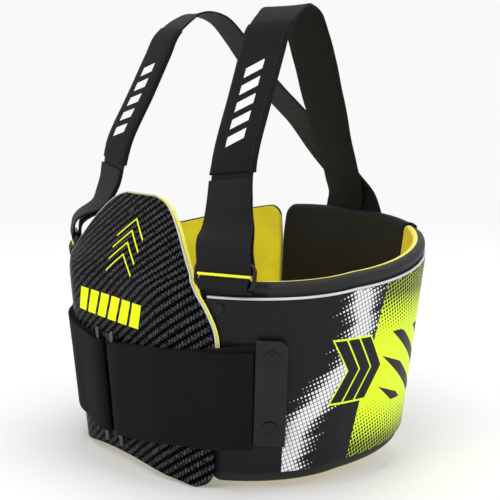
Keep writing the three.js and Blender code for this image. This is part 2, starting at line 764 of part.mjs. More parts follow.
function addCentreBuckle() {
  const group = new THREE.Group();
  group.applyMatrix4(buckleFrame());
  assembly.add(group);
  addPiece('centre_buckle', buckleGeometry(), FINISHES.metal, group);
  for (const [name, level] of [['upper', 0.5], ['lower', -0.5]]) {
    const geometry = rivetGeometry(BUCKLE_RIVET_RADIUS, BUCKLE_RIVET_HEIGHT);
    const rivet = addPiece(`buckle_rivet_${name}`, geometry, FINISHES.metal, group);
    rivet.position.set(0, level * BUCKLE_RIVET_SPACING, BUCKLE_THICKNESS + GAP);
  }
  for (const [word, side] of [['left', LEFT], ['right', RIGHT]]) {
    const low = mirrored(pinCentre(BELT_HEIGHT.front - BELT_WIDTH / 2), side);
    const high = mirrored(pinCentre(BELT_HEIGHT.front + BELT_WIDTH / 2), side);
    const length = low.distanceTo(high) + 2 * PIN_OVERHANG;
    const geometry = new THREE.CylinderGeometry(PIN_RADIUS, PIN_RADIUS, length, 12);
    const pin = addPiece(`${word}_belt_pin`, geometry, FINISHES.pin);
    pin.position.copy(low).add(high).multiplyScalar(0.5);
    pin.quaternion.setFromUnitVectors(new THREE.Vector3(0, 1, 0), high.sub(low).normalize());
  }
}

// Ladder locks, each on a frame: across, up along the strap, and outward
function lockFrame(side) {
  const angle = radians(LOCK_ANGLE);
  const height = topAt(angle) + LOCK_ABOVE_SHELL;
  const origin = formPoint(angle, -LOCK_STAND_OFF, height);
  const facing = radians(LOCK_FACING);
  const across = new THREE.Vector3(Math.cos(facing), Math.sin(facing), 0);
  const up = UP.clone().applyAxisAngle(across, -radians(LOCK_TILT));
  const out = new THREE.Vector3().crossVectors(across, up).normalize();
  return {
    origin: mirrored(origin, side),
    across: mirrored(across, side).multiplyScalar(side),
    up: mirrored(up, side),
    out: mirrored(out, side),
  };
}

function onLock(lock, across, up, out) {
  return lock.origin.clone()
    .addScaledVector(lock.across, across)
    .addScaledVector(lock.up, up)
    .addScaledVector(lock.out, out);
}

function roundedRectangle(path, width, height, corner) {
  const x = width / 2 - corner;
  const y = height / 2 - corner;
  path.absarc(x, y, corner, 0, Math.PI / 2, false);
  path.absarc(-x, y, corner, Math.PI / 2, Math.PI, false);
  path.absarc(-x, -y, corner, Math.PI, Math.PI * 1.5, false);
  path.absarc(x, -y, corner, Math.PI * 1.5, Math.PI * 2, false);
  path.closePath();
}

const SLOT_WIDTH = STRAP_WIDTH + 2 * GAP;

function addLock(word, side, lock) {
  const outline = new THREE.Shape();
  roundedRectangle(outline, LOCK_WIDTH, LOCK_HEIGHT, LOCK_CORNER);
  const slot = new THREE.Path();
  roundedRectangle(slot, SLOT_WIDTH, LOCK_HEIGHT - 2 * LOCK_BAR, 0.6);
  outline.holes.push(slot);
  const frameShape = new THREE.ExtrudeGeometry(outline, {
    depth: LOCK_DEPTH,
    bevelEnabled: false,
    curveSegments: 4,
  });
  frameShape.translate(0, 0, -LOCK_DEPTH / 2);
  const matrix = new THREE.Matrix4()
    .makeBasis(lock.across, lock.up, lock.out)
    .setPosition(lock.origin);
  addPiece(`${word}_ladder_lock`, frameShape, FINISHES.plastic).applyMatrix4(matrix);
  const slide = new THREE.BoxGeometry(SLOT_WIDTH - 2 * GAP, SLIDE_BAR_HEIGHT, SLIDE_BAR_DEPTH);
  const bar = addPiece(`${word}_lock_bar`, slide, FINISHES.yellowPlastic);
  bar.applyMatrix4(matrix);
  bar.position.copy(onLock(lock, 0, 0, 0));
}

// Strap routes up from the ladder locks, as shares of the torso and strap sizes: across of the
// half width, along of the front or back depth, up from the shells' front top to the strap top
const STRAP_FRONTS = {
  left: [
    { across: 0.655, along: -0.685, up: 0.165, facing: 21 },
    { across: 0.593, along: -0.613, up: 0.235, facing: 13 },
    { across: 0.567, along: -0.545, up: 0.325, facing: 9 },
    { across: 0.549, along: -0.498, up: 0.412, facing: 7 },
  ],
  right: [
    { across: 0.655, along: -0.685, up: 0.165, facing: 21 },
    { across: 0.593, along: -0.58, up: 0.235, facing: 13 },
    { across: 0.567, along: -0.51, up: 0.325, facing: 9 },
    { across: 0.549, along: -0.485, up: 0.412, facing: 7 },
  ],
};

// From the chest over the shoulder and down the back
const STRAP_ROUTE = [
  { across: 0.533, along: -0.45, up: 0.5, facing: 6 },
  { across: 0.494, along: -0.31, up: 0.677, facing: 6 },
  { across: 0.462, along: -0.19, up: 0.832, facing: 7 },
  { across: 0.446, along: -0.128, up: 0.91, facing: 8 },
  { across: 0.42, along: -0.01, up: 0.975, facing: 9 },
  { across: 0.385, along: 0.085, up: 1, facing: 10 },
  { across: 0.35, along: 0.205, up: 0.978, facing: 10 },
  { across: 0.31, along: 0.315, up: 0.898, facing: 10 },
  { across: 0.27, along: 0.402, up: 0.81, facing: 10 },
  { across: 0.195, along: 0.543, up: 0.677, facing: 9 },
  { across: 0.12, along: 0.682, up: 0.545, facing: 5 },
  { across: 0.048, along: 0.826, up: 0.412, facing: 1 },
  { across: 0, along: 0.925, up: 0.323, facing: 0 },
  { across: -0.045, along: 0.995, up: 0.245, facing: 0 },
];

// Last rows, down the back panel's outer face
const STRAP_ENDS = [
  { across: -0.075, up: 0.9, facing: 0 },
  { across: -0.105, up: 0.5, facing: 0 },
  { across: -0.165, up: 0, facing: 0 },
];

function routePoints(word) {
  const lift = word === 'right' ? STRAP_CROSSING_LIFT : 0;
  const rows = [...STRAP_FRONTS[word], ...STRAP_ROUTE].map(row => {
    const behind = row.along > 0 ? lift * Math.SQRT1_2 * smooth(row.along, 0.5, 0.7) : 0;
    return {
      point: new THREE.Vector3(
        row.across * TORSO_HALF_WIDTH,
        row.along * (row.along > 0 ? TORSO_BACK_DEPTH : TORSO_FRONT_DEPTH) + behind,
        mix(SHELL_TOP.front, STRAP_TOP, row.up) + behind,
      ),
      facing: row.facing,
    };
  });
  const offset = 1.6 * GAP + STRAP_THICKNESS / 2 - PANEL_SET_BACK;
  const panelTop = SHELL_TOP.back + PAD_RIM_ABOVE;
  for (const row of STRAP_ENDS) {
    const across = row.across * TORSO_HALF_WIDTH;
    const height = mix(STRAP_END_HEIGHT, panelTop, row.up);
    const out = offset + lift * smooth(row.up, -0.1, 0.1);
    const depth = surfaceDepth(across, height, out, true);
    rows.push({ point: new THREE.Vector3(across, depth, height), facing: row.facing });
  }
  return rows;
}

// Centre line of a strap as even steps, each with its across direction and outward normal
function strapRun(word, side, lock) {
  const start = onLock(lock, 0, (LOCK_HEIGHT - LOCK_BAR) / 2, 0);
  const layer = LOCK_BAR / Math.SQRT2 + GAP + STRAP_THICKNESS / 2;
  start.addScaledVector(lock.out, -layer);
  const rows = routePoints(word);
  const path = new THREE.CatmullRomCurve3(
    [start, ...rows.map(row => mirrored(row.point, side))],
    false,
    'centripetal',
  );
  const facings = [LOCK_FACING, ...rows.map(row => row.facing)];
  const count = 74;
  const run = [];
  for (let index = 0; index <= count; index += 1) {
    const share = index / count;
    const knot = path.getUtoTmapping(share) * (facings.length - 1);
    const low = Math.min(Math.floor(knot), facings.length - 2);
    const facing = radians(mix(facings[low], facings[low + 1], knot - low));
    const centre = path.getPointAt(share);
    const along = path.getTangentAt(share);
    const across = new THREE.Vector3(Math.cos(facing), Math.sin(facing) * side, 0);
    across.addScaledVector(along, -across.dot(along)).normalize();
    const leave = 1 - smooth(centre.distanceTo(start), 4, STRAP_WIDTH);
    across.lerp(lock.across, leave).normalize();
    const out = new THREE.Vector3().crossVectors(across, along).normalize();
    run.push({ centre, across, out });
  }
  return { run, layer };
}

const heightShare = point => (point.z - SHELL_TOP.front) / (STRAP_TOP - SHELL_TOP.front);

// The doubled lower part: the tail comes down in front and turns round the lock's upper bar
function tailAndTurn(run, layer, lock) {
  const front = run.filter(({ centre }, index) => index > 0 && index < 26
    && heightShare(centre) < SLEEVE_LOW_SHARE - 0.012 && heightShare(centre) > TAIL_LOW_SHARE);
  const near = front[0].centre;
  const far = front[front.length - 1].centre;
  const tail = front.map(place => {
    const share = near.distanceTo(place.centre) / near.distanceTo(far);
    const step = mix(2 * layer - 0.6, STRAP_THICKNESS + TAIL_GAP, share);
    return { ...place, centre: place.centre.clone().addScaledVector(place.out, step) };
  });
  const turn = [];
  for (let step = 0; step <= 6; step += 1) {
    const swing = mix(0, Math.PI, step / 6);
    const up = (LOCK_HEIGHT - LOCK_BAR) / 2 - Math.sin(swing) * layer;
    const centre = onLock(lock, 0, up, Math.cos(swing) * layer);
    turn.push({ centre, across: lock.across });
  }
  return [...tail.reverse(), ...turn];
}

function strapGeometry(side, run, layer, lock) {
  const path = [...tailAndTurn(run, layer, lock), ...run.slice(1)];
  const low = path.map(({ centre, across }) =>
    centre.clone().addScaledVector(across, -STRAP_WIDTH / 2));
  const high = path.map(({ centre, across }) =>
    centre.clone().addScaledVector(across, STRAP_WIDTH / 2));
  return loft(ribbonSections(low, high, STRAP_THICKNESS));
}

// The sleeve is a flat tube round the front of the strap
function sleeveGeometry(run) {
  const top = run.findIndex(({ centre }) => heightShare(centre) > SLEEVE_HIGH_SHARE);
  const covered = run.slice(0, top + 1).filter(({ centre }) => heightShare(centre) > SLEEVE_LOW_SHARE);
  const tube = (width, thickness) => covered.map(({ centre, across, out }) => {
    const corners = [[1, 1], [-1, 1], [-1, -1], [1, -1]];
    return corners.map(([a, b]) => centre.clone()
      .addScaledVector(across, a * width / 2)
      .addScaledVector(out, b * thickness / 2));
  });
  const hollow = STRAP_THICKNESS + 2 * SLEEVE_EASE;
  return loftSleeve(
    tube(SLEEVE_WIDTH, hollow + 2 * SLEEVE_WALL),
    tube(STRAP_WIDTH + 2 * SLEEVE_EASE, hollow),
  );
}

// Anchor webbing: up between shell and liner, out over the piping and round the lower bar
function anchorGeometry(side, lock) {
  const middleArc = arcAt(LOCK_ANGLE);
  const half = ANCHOR_THICKNESS / 2;
  const inside = SHELL_THICKNESS + GAP + half;
  const climb = [
    { depth: inside, up: -ANCHOR_TUCK },
    { depth: inside, up: -ANCHOR_TUCK / 2 },
    { depth: inside, up: GAP + PIPING_SIZE * 0.4 },
    { depth: inside * 0.55, up: GAP + PIPING_SIZE + half + 0.9 },
  ];
  const reach = ANCHOR_WIDTH / 2;
  const arcs = stations(middleArc - reach, middleArc + reach, 0, 0);
  const rows = climb.map(({ depth, up }) => arcs.map(arc => {
    const angle = angleAt(arc);
    return mirrored(formPoint(angle, depth, topAt(angle) + up), side);
  }));
  const radius = LOCK_BAR / Math.SQRT2 + GAP + half;
  const barHeight = -(LOCK_HEIGHT - LOCK_BAR) / 2;
  const turnSteps = 7;
  for (let step = 0; step <= turnSteps; step += 1) {
    const swing = mix(-0.5, 1.15, step / turnSteps) * Math.PI;
    const up = barHeight + Math.sin(swing) * radius;
    const out = Math.cos(swing) * radius;
    rows.push(arcs.map(arc => onLock(lock, (arc - middleArc) * side, up, out)));
  }
  const sections = rows.map((row, index) => {
    const before = rows[Math.max(index - 1, 0)];
    const after = rows[Math.min(index + 1, rows.length - 1)];
    const across = new THREE.Vector3().subVectors(row[row.length - 1], row[0]);
    const shift = row.map((_, column) => {
      const along = new THREE.Vector3().subVectors(after[column], before[column]);
      return new THREE.Vector3().crossVectors(along, across).setLength(half);
    });
    return {
      front: row.map((point, column) => point.clone().add(shift[column])),
      back: row.map((point, column) => point.clone().sub(shift[column])),
    };
  });
  return loft(sections);
}

function addStrap(word, side) {
  const lock = lockFrame(side);
  const { run, layer } = strapRun(word, side, lock);
  addPiece(`${word}_shoulder_strap`, strapGeometry(side, run, layer, lock), FINISHES.webbing);
  addPiece(`${word}_strap_sleeve`, sleeveGeometry(run), FINISHES.fabric);
  addLock(word, side, lock);
  addPiece(`${word}_strap_anchor`, anchorGeometry(side, lock), FINISHES.webbing);
  const angle = radians(SHELL_RIVET_ANGLE);
  const height = topAt(angle) - SHELL_RIVET_BELOW;
  const group = new THREE.Group();
  group.applyMatrix4(surfaceFrame(angle, GAP, height, side));
  assembly.add(group);
  const rivet = rivetGeometry(SHELL_RIVET_RADIUS, SHELL_RIVET_HEIGHT);
  addPiece(`${word}_shell_rivet`, rivet, FINISHES.metal, group);
}

// Small rivet near the top of the chest plate
function addChestRivet() {
  const height = PLATE_TOP - CHEST_RIVET_BELOW_TOP;
  const low = platePoint(0, height - 5, 0);
  const high = platePoint(0, height + 5, 0);
  const across = new THREE.Vector3(1, 0, 0);
  const up = high.sub(low).normalize();
  const out = new THREE.Vector3().crossVectors(across, up);
  const origin = platePoint(0, height, 0).addScaledVector(out, GAP);
  const group = new THREE.Group();
  group.applyMatrix4(new THREE.Matrix4().makeBasis(across, up, out).setPosition(origin));
  assembly.add(group);
  const geometry = rivetGeometry(CHEST_RIVET_RADIUS, CHEST_RIVET_HEIGHT);
  addPiece('chest_plate_rivet', geometry, FINISHES.metal, group);
}

for (const [word, side, rearAngle] of [
  ['left', LEFT, LEFT_PAD_REAR_ANGLE],
  ['right', RIGHT, RIGHT_PAD_REAR_ANGLE],
]) {
  addPiece(`${word}_shell`, shellGeometry(side), FINISHES.shell);
  addPiece(`${word}_shell_piping`, shellPipingGeometry(side), FINISHES.piping);
  addPiece(`${word}_pad`, padGeometry(side, rearAngle), FINISHES.liner);
  addPiece(`${word}_belt`, beltGeometry(side), FINISHES.elastic);
  addBracket(word, side);
  addStrap(word, side);
}
addPiece('back_panel', backPanelGeometry(), FINISHES.fabric);
addPiece('chest_plate', chestSheet(0, 0, () => PLATE_THICKNESS), FINISHES.carbon);
addPiece(
  'chest_pad',
  chestSheet(CHEST_PAD_MARGIN, PLATE_THICKNESS + CHEST_PAD_GAP, chestPadThickness),
  FINISHES.liner,
);
addPiece('plate_piping', platePipingGeometry(), FINISHES.piping);
addChestRivet();
addCentreBuckle();

export default assembly;
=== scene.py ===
"""Looks of a rib protector for kart drivers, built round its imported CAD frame.

Every soft piece is laid on the same torso form as the CAD solids, with a finer surface, rounded
edges and a procedural material. Lengths in the form's own numbers are millimetres, and every
mesh is made in metres.
"""

import logging
import math
from dataclasses import dataclass, field
from enum import Enum
from typing import Callable, Sequence

import bpy
import numpy as np
from mathutils import Matrix, Vector


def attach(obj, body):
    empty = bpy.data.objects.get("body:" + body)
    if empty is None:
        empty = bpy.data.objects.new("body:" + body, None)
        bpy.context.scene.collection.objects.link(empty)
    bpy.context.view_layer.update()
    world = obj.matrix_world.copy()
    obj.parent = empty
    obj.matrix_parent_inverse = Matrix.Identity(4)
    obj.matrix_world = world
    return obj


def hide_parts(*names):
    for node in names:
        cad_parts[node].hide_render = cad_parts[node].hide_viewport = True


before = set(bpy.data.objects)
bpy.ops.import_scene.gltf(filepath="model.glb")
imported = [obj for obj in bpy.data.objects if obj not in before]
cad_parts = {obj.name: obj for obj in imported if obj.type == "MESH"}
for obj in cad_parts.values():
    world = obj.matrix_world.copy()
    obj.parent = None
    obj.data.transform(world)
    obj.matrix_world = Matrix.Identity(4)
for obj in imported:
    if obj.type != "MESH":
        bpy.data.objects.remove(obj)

LOG = logging.getLogger("rib_protector")
MM = 0.001
EDGE_FACES = 3  # across each rounded edge
Place = tuple[Vector, float, float]
Placer = Callable[[float, float], Place]

# Sizes that several pieces share, in millimetres
GAP = 0.35
SHELL_WALL = 2.5
INSIDE_SHELL = SHELL_WALL + GAP
RIM_ABOVE = 14.2
BORDER_BELOW = 8.7
LINER_CORNER = 12.0
SHELL_FRONT = 30.0
SHELL_REAR = 146.0
LOCK_ANGLE = 45.3
LOCK_BAR = 3.2


class Side(Enum):
    """The wearer's side, whose value mirrors the X coordinate."""

    LEFT = 1
    RIGHT = -1

    @property
    def word(self) -> str:
        """The side's name, as it begins the node names."""
        return self.name.lower()


class Slot(Enum):
    """Material slots that the finishes name."""

    SHELL = "shell"
    PIPING = "piping"
    LINER = "liner"
    PANEL = "panel"
    CARBON = "carbon"
    ELASTIC = "elastic"
    METAL = "metal"
    STEEL = "steel"
    WEBBING = "webbing"
    SLEEVE = "sleeve"
    LOCK = "lock_plastic"
    BAR = "bar_plastic"


def clamp(value: float, low: float, high: float) -> float:
    """Limits a value to a range."""
    return min(max(value, low), high)


def mix(a: float, b: float, share: float) -> float:
    """Goes from a to b by a share."""
    return a + (b - a) * share


def smooth(value: float, low: float, high: float) -> float:
    """A soft step from 0 at low to 1 at high."""
    share = clamp((value - low) / (high - low), 0.0, 1.0)
    return share * share * (3 - 2 * share)


def signed_power(value: float, power: float) -> float:
    """A power that keeps the value's sign."""
    return math.copysign(abs(value) ** power, value)


def mirrored(point: Vector, side: Side) -> Vector:
    """A point, on the given side."""
    return Vector((point.x * side.value, point.y, point.z))


def soft_table(value: float, xs: Sequence[float], ys: Sequence[float]) -> float:
    """Reads a smooth curve through a table's points.

    Args:
        value: where to read.
        xs: rising places.
        ys: the values there.

    Returns:
        The curve's value.
    """
    if value <= xs[0]:
        return ys[0]
    if value >= xs[-1]:
        return ys[-1]
    k = int(np.searchsorted(xs, value)) - 1
    k = max(0, min(k, len(xs) - 2))
    before, after = max(k - 1, 0), min(k + 2, len(xs) - 1)
    span = xs[k + 1] - xs[k]
    t = (value - xs[k]) / span
    start = (ys[k + 1] - ys[before]) / (xs[k + 1] - xs[before]) * span
    end = (ys[after] - ys[k]) / (xs[after] - xs[k]) * span
    return (
        (2 * t**3 - 3 * t**2 + 1) * ys[k]
        + (t**3 - 2 * t**2 + t) * start
        + (3 * t**2 - 2 * t**3) * ys[k + 1]
        + (t**3 - t**2) * end
    )


@dataclass(frozen=True)
class TorsoForm:
    """The oval that the shells and liners follow, in millimetres.

    Attributes:
        half_width: half the width at the shells' top edge.
        front_depth: depth from the origin to the front.
        back_depth: depth from the origin to the back.
        front_roundness: exponent of the front half's oval.
        back_roundness: exponent of the back half's oval.
        waist_share: width at the bottom edge as a share of the top.
        top: heights of the shells' top edge at front, side and back.
        bottom: heights of their bottom edge there.
    """

    half_width: float = 172.0
    front_depth: float = 129.0
    back_depth: float = 141.0
    front_roundness: float = 1.92
    back_roundness: float = 2.73
    waist_share: float = 0.897
    top: tuple[float, float, float] = (77.0, 81.0, 109.0)
    bottom: tuple[float, float, float] = (-69.0, -59.0, -41.0)

    @staticmethod
    def _edge(edge: tuple[float, float, float], angle: float) -> float:
        """Height of an edge that passes softly through its three named heights.

        Args:
            edge: heights at front, side and back.
            angle: radians from the front centre.

        Returns:
            The height.
        """
        front, side, back = edge
        middle = (front + back + 2 * side) / 4
        dip = (front + back - 2 * side) / 4
        return middle + (front - back) / 2 * math.cos(angle) + dip * math.cos(2 * angle)

    def top_at(self, angle: float) -> float:
        """Height of the shells' top edge."""
        return self._edge(self.top, angle)

    def bottom_at(self, angle: float) -> float:
        """Height of the shells' bottom edge."""
        return self._edge(self.bottom, angle)

    def taper(self, height: float, top: float, bottom: float) -> float:
        """Share of the full width at a height."""
        drop = clamp((top - height) / (top - bottom), 0.0, 1.2)
        return 1 - (1 - self.waist_share) * drop

    def point(self, angle: float, depth: float, height: float) -> Vector:
        """A point on the form.

        Args:
            angle: radians from the front centre towards the wearer's left.
            depth: distance inward from the shells' outer face.
            height: height above the origin.

        Returns:
            The point in millimetres.
        """
        taper = self.taper(height, self.top_at(angle), self.bottom_at(angle))
        front = math.cos(angle) > 0
        reach = (self.front_depth if front else self.back_depth) * taper - depth
        power = 2 / (self.front_roundness if front else self.back_roundness)
        return Vector(
            (
                (self.half_width * taper - depth) * signed_power(math.sin(angle), power),
                -reach * signed_power(math.cos(angle), power),
                height,
            )
        )

    def depth_at(self, across: float, height: float, offset: float, back: bool = False) -> float:
        """Depth of the form's front or back at a place across.

        Args:
            across: distance from the middle plane.
            height: height above the origin.
            offset: distance outward of the shells' outer face.
            back: whether the back half is meant.

        Returns:
            The depth, without its sign.
        """
        k = 2 if back else 0
        reach = self.back_depth if back else self.front_depth
        power = self.back_roundness if back else self.front_roundness
        taper = self.taper(height, self.top[k], self.bottom[k])
        share = min(abs(across) / (self.half_width * taper + offset), 0.999)
        return (reach * taper + offset) * (1 - share**power) ** (1 / power)

    def frame_at(self, angle: float, offset: float, height: float, side: Side) -> Matrix:
        """A frame on the form: across, up along the surface and outward.

        Args:
            angle: radians from the front centre.
            offset: distance outward of the shells' outer face.
            height: height above the origin.
            side: the wearer's side.

        Returns:
            The frame's matrix, in millimetres.
        """
        origin = mirrored(self.point(angle, -offset, height), side)
        above = mirrored(self.point(angle, -offset, height + 30), side)
        below = mirrored(self.point(angle, -offset, height - 30), side)
        ahead = mirrored(self.point(angle + 0.04, -offset, height), side)
        behind = mirrored(self.point(angle - 0.04, -offset, height), side)
        up = (above - below).normalized()
        across = (ahead - behind) * side.value
        out = across.cross(up).normalized()
        return frame_matrix(origin, up.cross(out), up, out)


FORM = TorsoForm()

# Distance along the shells' top edge from the front centre, at each quarter of a degree
_ANGLES = np.radians(np.arange(0, 360.25, 0.25))
_RING = np.array([FORM.point(a, 0, FORM.top[2]) for a in _ANGLES])
_ARCS = np.concatenate([[0], np.cumsum(np.linalg.norm(np.diff(_RING, axis=0), axis=1))])


def arc_at(degrees: float) -> float:
    """Distance along the shells' top edge from the front centre."""
    return float(np.interp(math.radians(degrees), _ANGLES, _ARCS))


def angle_at(arc: float) -> float:
    """Angle round the form at a distance along it."""
    return float(np.interp(arc, _ARCS, _ANGLES))


def frame_matrix(origin: Vector, across: Vector, up: Vector, out: Vector) -> Matrix:
    """A matrix from three axes and an origin.

    Args:
        origin: where the frame stands.
        across: its first axis.
        up: its second axis.
        out: its third axis.

    Returns:
        The matrix.
    """
    matrix = Matrix((across, up, out)).transposed().to_4x4()
    matrix.translation = origin
    return matrix


def corner_cut(distance: float, radius: float) -> float:
    """How far a rounded corner has cut in, at a distance from the end."""
    inside = clamp(radius - distance, 0.0, radius)
    return radius - math.sqrt(radius * radius - inside * inside)


def notch_lean(arc: float, end: float, height: float, closing: float = 0.0) -> float:
    """How far a padded piece leans away from the notch at the back.

    Args:
        arc: distance along the top edge.
        end: where the piece ends.
        height: height above the origin.
        closing: how far the piece reaches past its end below the notch.

    Returns:
        The lean, along the top edge.
    """
    opening = 3.4 * smooth(height, 84, 121)
    return (opening - closing) * smooth(arc, end - 45, end)


def end_places(start: float, end: float, step: float, soft: float) -> list[float]:
    """Places along a strip that come closer together near both ends.

    Args:
        start: first place.
        end: last place.
        step: distance between the middle ones.
        soft: length at each end that is finely divided.

    Returns:
        The places.
    """
    fine = [soft * (1 - math.cos(math.pi / 2 * k / 8)) for k in range(9)]
    count = max(2, round((end - start - 2 * soft) / step))
    middle = [mix(start + soft, end - soft, k / count) for k in range(1, count)]
    return [start + f for f in fine] + middle + [end - f for f in reversed(fine)]


# Shader building


@dataclass
class Term:
    """One value in a shader tree, with arithmetic that adds Math nodes.

    Attributes:
        tree: the node tree.
        value: a number, or the socket that gives it.
    """

    tree: bpy.types.NodeTree
    value: object

    def _op(self, operation: str, *others: object) -> "Term":
        """Adds a Math node.

        Args:
            operation: the node's operation.
            others: the values or terms after this one.

        Returns:
            The node's result.
        """
        node = self.tree.nodes.new("ShaderNodeMath")
        node.operation = operation
        for index, item in enumerate((self, *others)):
            item = item.value if isinstance(item, Term) else item
            if isinstance(item, bpy.types.NodeSocket):
                self.tree.links.new(item, node.inputs[index])
            else:
                node.inputs[index].default_value = float(item)
        return Term(self.tree, node.outputs[0])

    def __add__(self, other: object) -> "Term":
        """The sum."""
        return self._op("ADD", other)

    def __sub__(self, other: object) -> "Term":
        """The difference."""
        return self._op("SUBTRACT", other)

    def __mul__(self, other: object) -> "Term":
        """The product."""
        return self._op("MULTIPLY", other)

    def __truediv__(self, other: object) -> "Term":
        """The quotient."""
        return self._op("DIVIDE", other)

    def flipped(self) -> "Term":
        """One minus the value."""
        return Term(self.tree, 1.0)._op("SUBTRACT", self)

    def abs(self) -> "Term":
        """The value without its sign."""
        return self._op("ABSOLUTE")

    def fract(self) -> "Term":
        """The value's fraction."""
        return self._op("FRACT")

    def floor(self) -> "Term":
        """The whole number below."""
        return self._op("FLOOR")

    def mod(self, other: float) -> "Term":
        """The remainder, never below 0."""
        return self._op("FLOORED_MODULO", other)

    def sin(self) -> "Term":
        """The sine, of radians."""
        return self._op("SINE")

    def below(self, other: object) -> "Term":
        """1 where the value is below the other."""
        return self._op("LESS_THAN", other)

    def above(self, other: object) -> "Term":
        """1 where the value is above the other."""
        return self._op("GREATER_THAN", other)

    def least(self, other: object) -> "Term":
        """The smaller of two."""
        return self._op("MINIMUM", other)

    def most(self, other: object) -> "Term":
        """The larger of two."""
        return self._op("MAXIMUM", other)

    def step(self, low: float, high: float) -> "Term":
        """A soft step of the value.

        Args:
            low: where it starts from 0.
            high: where it reaches 1.

        Returns:
            The step.
        """
        node = self.tree.nodes.new("ShaderNodeMapRange")
        node.interpolation_type = "SMOOTHSTEP"
        node.inputs["From Min"].default_value = low
        node.inputs["From Max"].default_value = high
        self.tree.links.new(self.value, node.inputs["Value"])
        return Term(self.tree, node.outputs["Result"])


@dataclass
class Shader:
    """A material's node tree with its Principled node.

    Attributes:
        material: the material.
    """

    material: bpy.types.Material

    def __post_init__(self) -> None:
        """Opens the node tree and finds its Principled node."""
        self.material.use_nodes = True
        self.tree = self.material.node_tree
        self.bsdf = self.tree.nodes["Principled BSDF"]

    def node(self, kind: str, **settings: object) -> bpy.types.Node:
        """Adds a node.

        Args:
            kind: the node's type.
            settings: values, terms or sockets for its inputs, named with underscores.

        Returns:
            The node.
        """
        node = self.tree.nodes.new(kind)
        for name, value in settings.items():
            socket = node.inputs[name.replace("_", " ")]
            if isinstance(value, Term):
                value = value.value
            if isinstance(value, bpy.types.NodeSocket):
                self.tree.links.new(value, socket)
            else:
                socket.default_value = value
        return node

    def wrap(self) -> tuple[Term, Term]:
        """The two metric coordinates of the surface.

        Returns:
            Both coordinates, in millimetres.
        """
        uv = self.tree.nodes.new("ShaderNodeUVMap")
        uv.uv_map = "Wrap"
        split = self.node("ShaderNodeSeparateXYZ", Vector=uv.outputs[0])
        return (
            Term(self.tree, split.outputs[0]) * 1000.0,
            Term(self.tree, split.outputs[1]) * 1000.0,
        )

    def place(self) -> bpy.types.NodeSocket:
        """Object coordinates."""
        return self.node("ShaderNodeTexCoord").outputs["Object"]

    def noise(self, scale: float, detail: float = 3.0, stretch: Vector | None = None) -> Term:
        """A noise texture's value.

        Args:
            scale: waves to the metre.
            detail: octaves.
            stretch: scale of each axis.

        Returns:
            The noise.
        """
        vector = self.place()
        if stretch is not None:
            mapping = self.node("ShaderNodeMapping", Vector=vector)
            mapping.inputs["Scale"].default_value = stretch
            vector = mapping.outputs[0]
        node = self.node("ShaderNodeTexNoise", Vector=vector, Scale=scale, Detail=detail)
        return Term(self.tree, node.outputs[0])

    def grain(self, scale: float) -> Term:
        """Leather grain: the distance to the middle of the nearest cell."""
        node = self.node("ShaderNodeTexVoronoi", Vector=self.place(), Scale=scale)
        return Term(self.tree, node.outputs["Distance"])

    def mixed(self, factor: Term, a: object, b: object) -> bpy.types.NodeSocket:
        """Mixes two colours.

        Args:
            factor: share of the second.
            a: first colour or socket.
            b: second colour or socket.

        Returns:
            The mixed colour's socket.
        """
        node = self.tree.nodes.new("ShaderNodeMix")
        node.data_type = "RGBA"
        self.tree.links.new(factor.value, node.inputs[0])
        for socket, value in ((node.inputs[6], a), (node.inputs[7], b)):
            if isinstance(value, bpy.types.NodeSocket):
                self.tree.links.new(value, socket)
            else:
                socket.default_value = (*value, 1.0)
        return node.outputs[2]

    def bump(self, height: Term, distance: float, strength: float = 1.0) -> None:
        """Bends the shading by a height, after any bump before it.

        Args:
            height: the height, about 0 to 1.
            distance: its depth in metres.
            strength: share of the effect.
        """
        node = self.node("ShaderNodeBump", Height=height)
        node.inputs["Distance"].default_value = distance
        node.inputs["Strength"].default_value = strength
        normal = self.bsdf.inputs["Normal"]
        if normal.is_linked:
            self.tree.links.new(normal.links[0].from_socket, node.inputs["Normal"])
        self.tree.links.new(node.outputs[0], normal)

    def set(self, **values: object) -> None:
        """Sets or links inputs of the Principled node.

        Args:
            values: values, terms or sockets, named with underscores.
        """
        for name, value in values.items():
            socket = self.bsdf.inputs[name.replace("_", " ")]
            if isinstance(value, Term):
                value = value.value
            if isinstance(value, bpy.types.NodeSocket):
                self.tree.links.new(value, socket)
            elif isinstance(value, tuple):
                socket.default_value = (*value, 1.0)
            else:
                socket.default_value = value


Paint = Callable[[Shader], None]


@dataclass(frozen=True)
class Finish:
    """A named finish of one material slot.

    Attributes:
        name: the material's name.
        slot: its material slot, not used.
        paint: builds the node tree.
    """

    name: str
    slot: Slot
    paint: Paint

    def material(self) -> bpy.types.Material:
        """The finish's material, made once.

        Returns:
            The material.
        """
        found = bpy.data.materials.get(self.name)
        if found is None:
            found = bpy.data.materials.new(self.name)
            self.paint(Shader(found))
        return found


def leather(color: tuple[float, float, float], roughness: float, wrinkle: float) -> Paint:
    """Synthetic leather over foam.

    Args:
        color: base colour.
        roughness: mean roughness.
        wrinkle: depth of the soft upright wrinkles, in metres.

    Returns:
        The paint function.
    """

    def paint(shader: Shader) -> None:
        """Builds the leather's node tree.

        Args:
            shader: the material's node tree.
        """
        cloud = shader.noise(14.0, 4.0)
        dark = tuple(c * 0.82 for c in color)
        light = tuple(min(c * 1.12, 1.0) for c in color)
        tone = shader.mixed(cloud.step(0.35, 0.7), dark, light)
        shader.set(
            Base_Color=tone,
            Roughness=shader.noise(60.0) * 0.18 + (roughness - 0.09),
            Specular_IOR_Level=0.25,
        )
        folds = shader.noise(26.0, 2.0, Vector((1.0, 1.0, 0.16)))
        shader.bump(folds, wrinkle)
        shader.bump(shader.grain(1500.0), 0.00012, 0.5)

    return paint


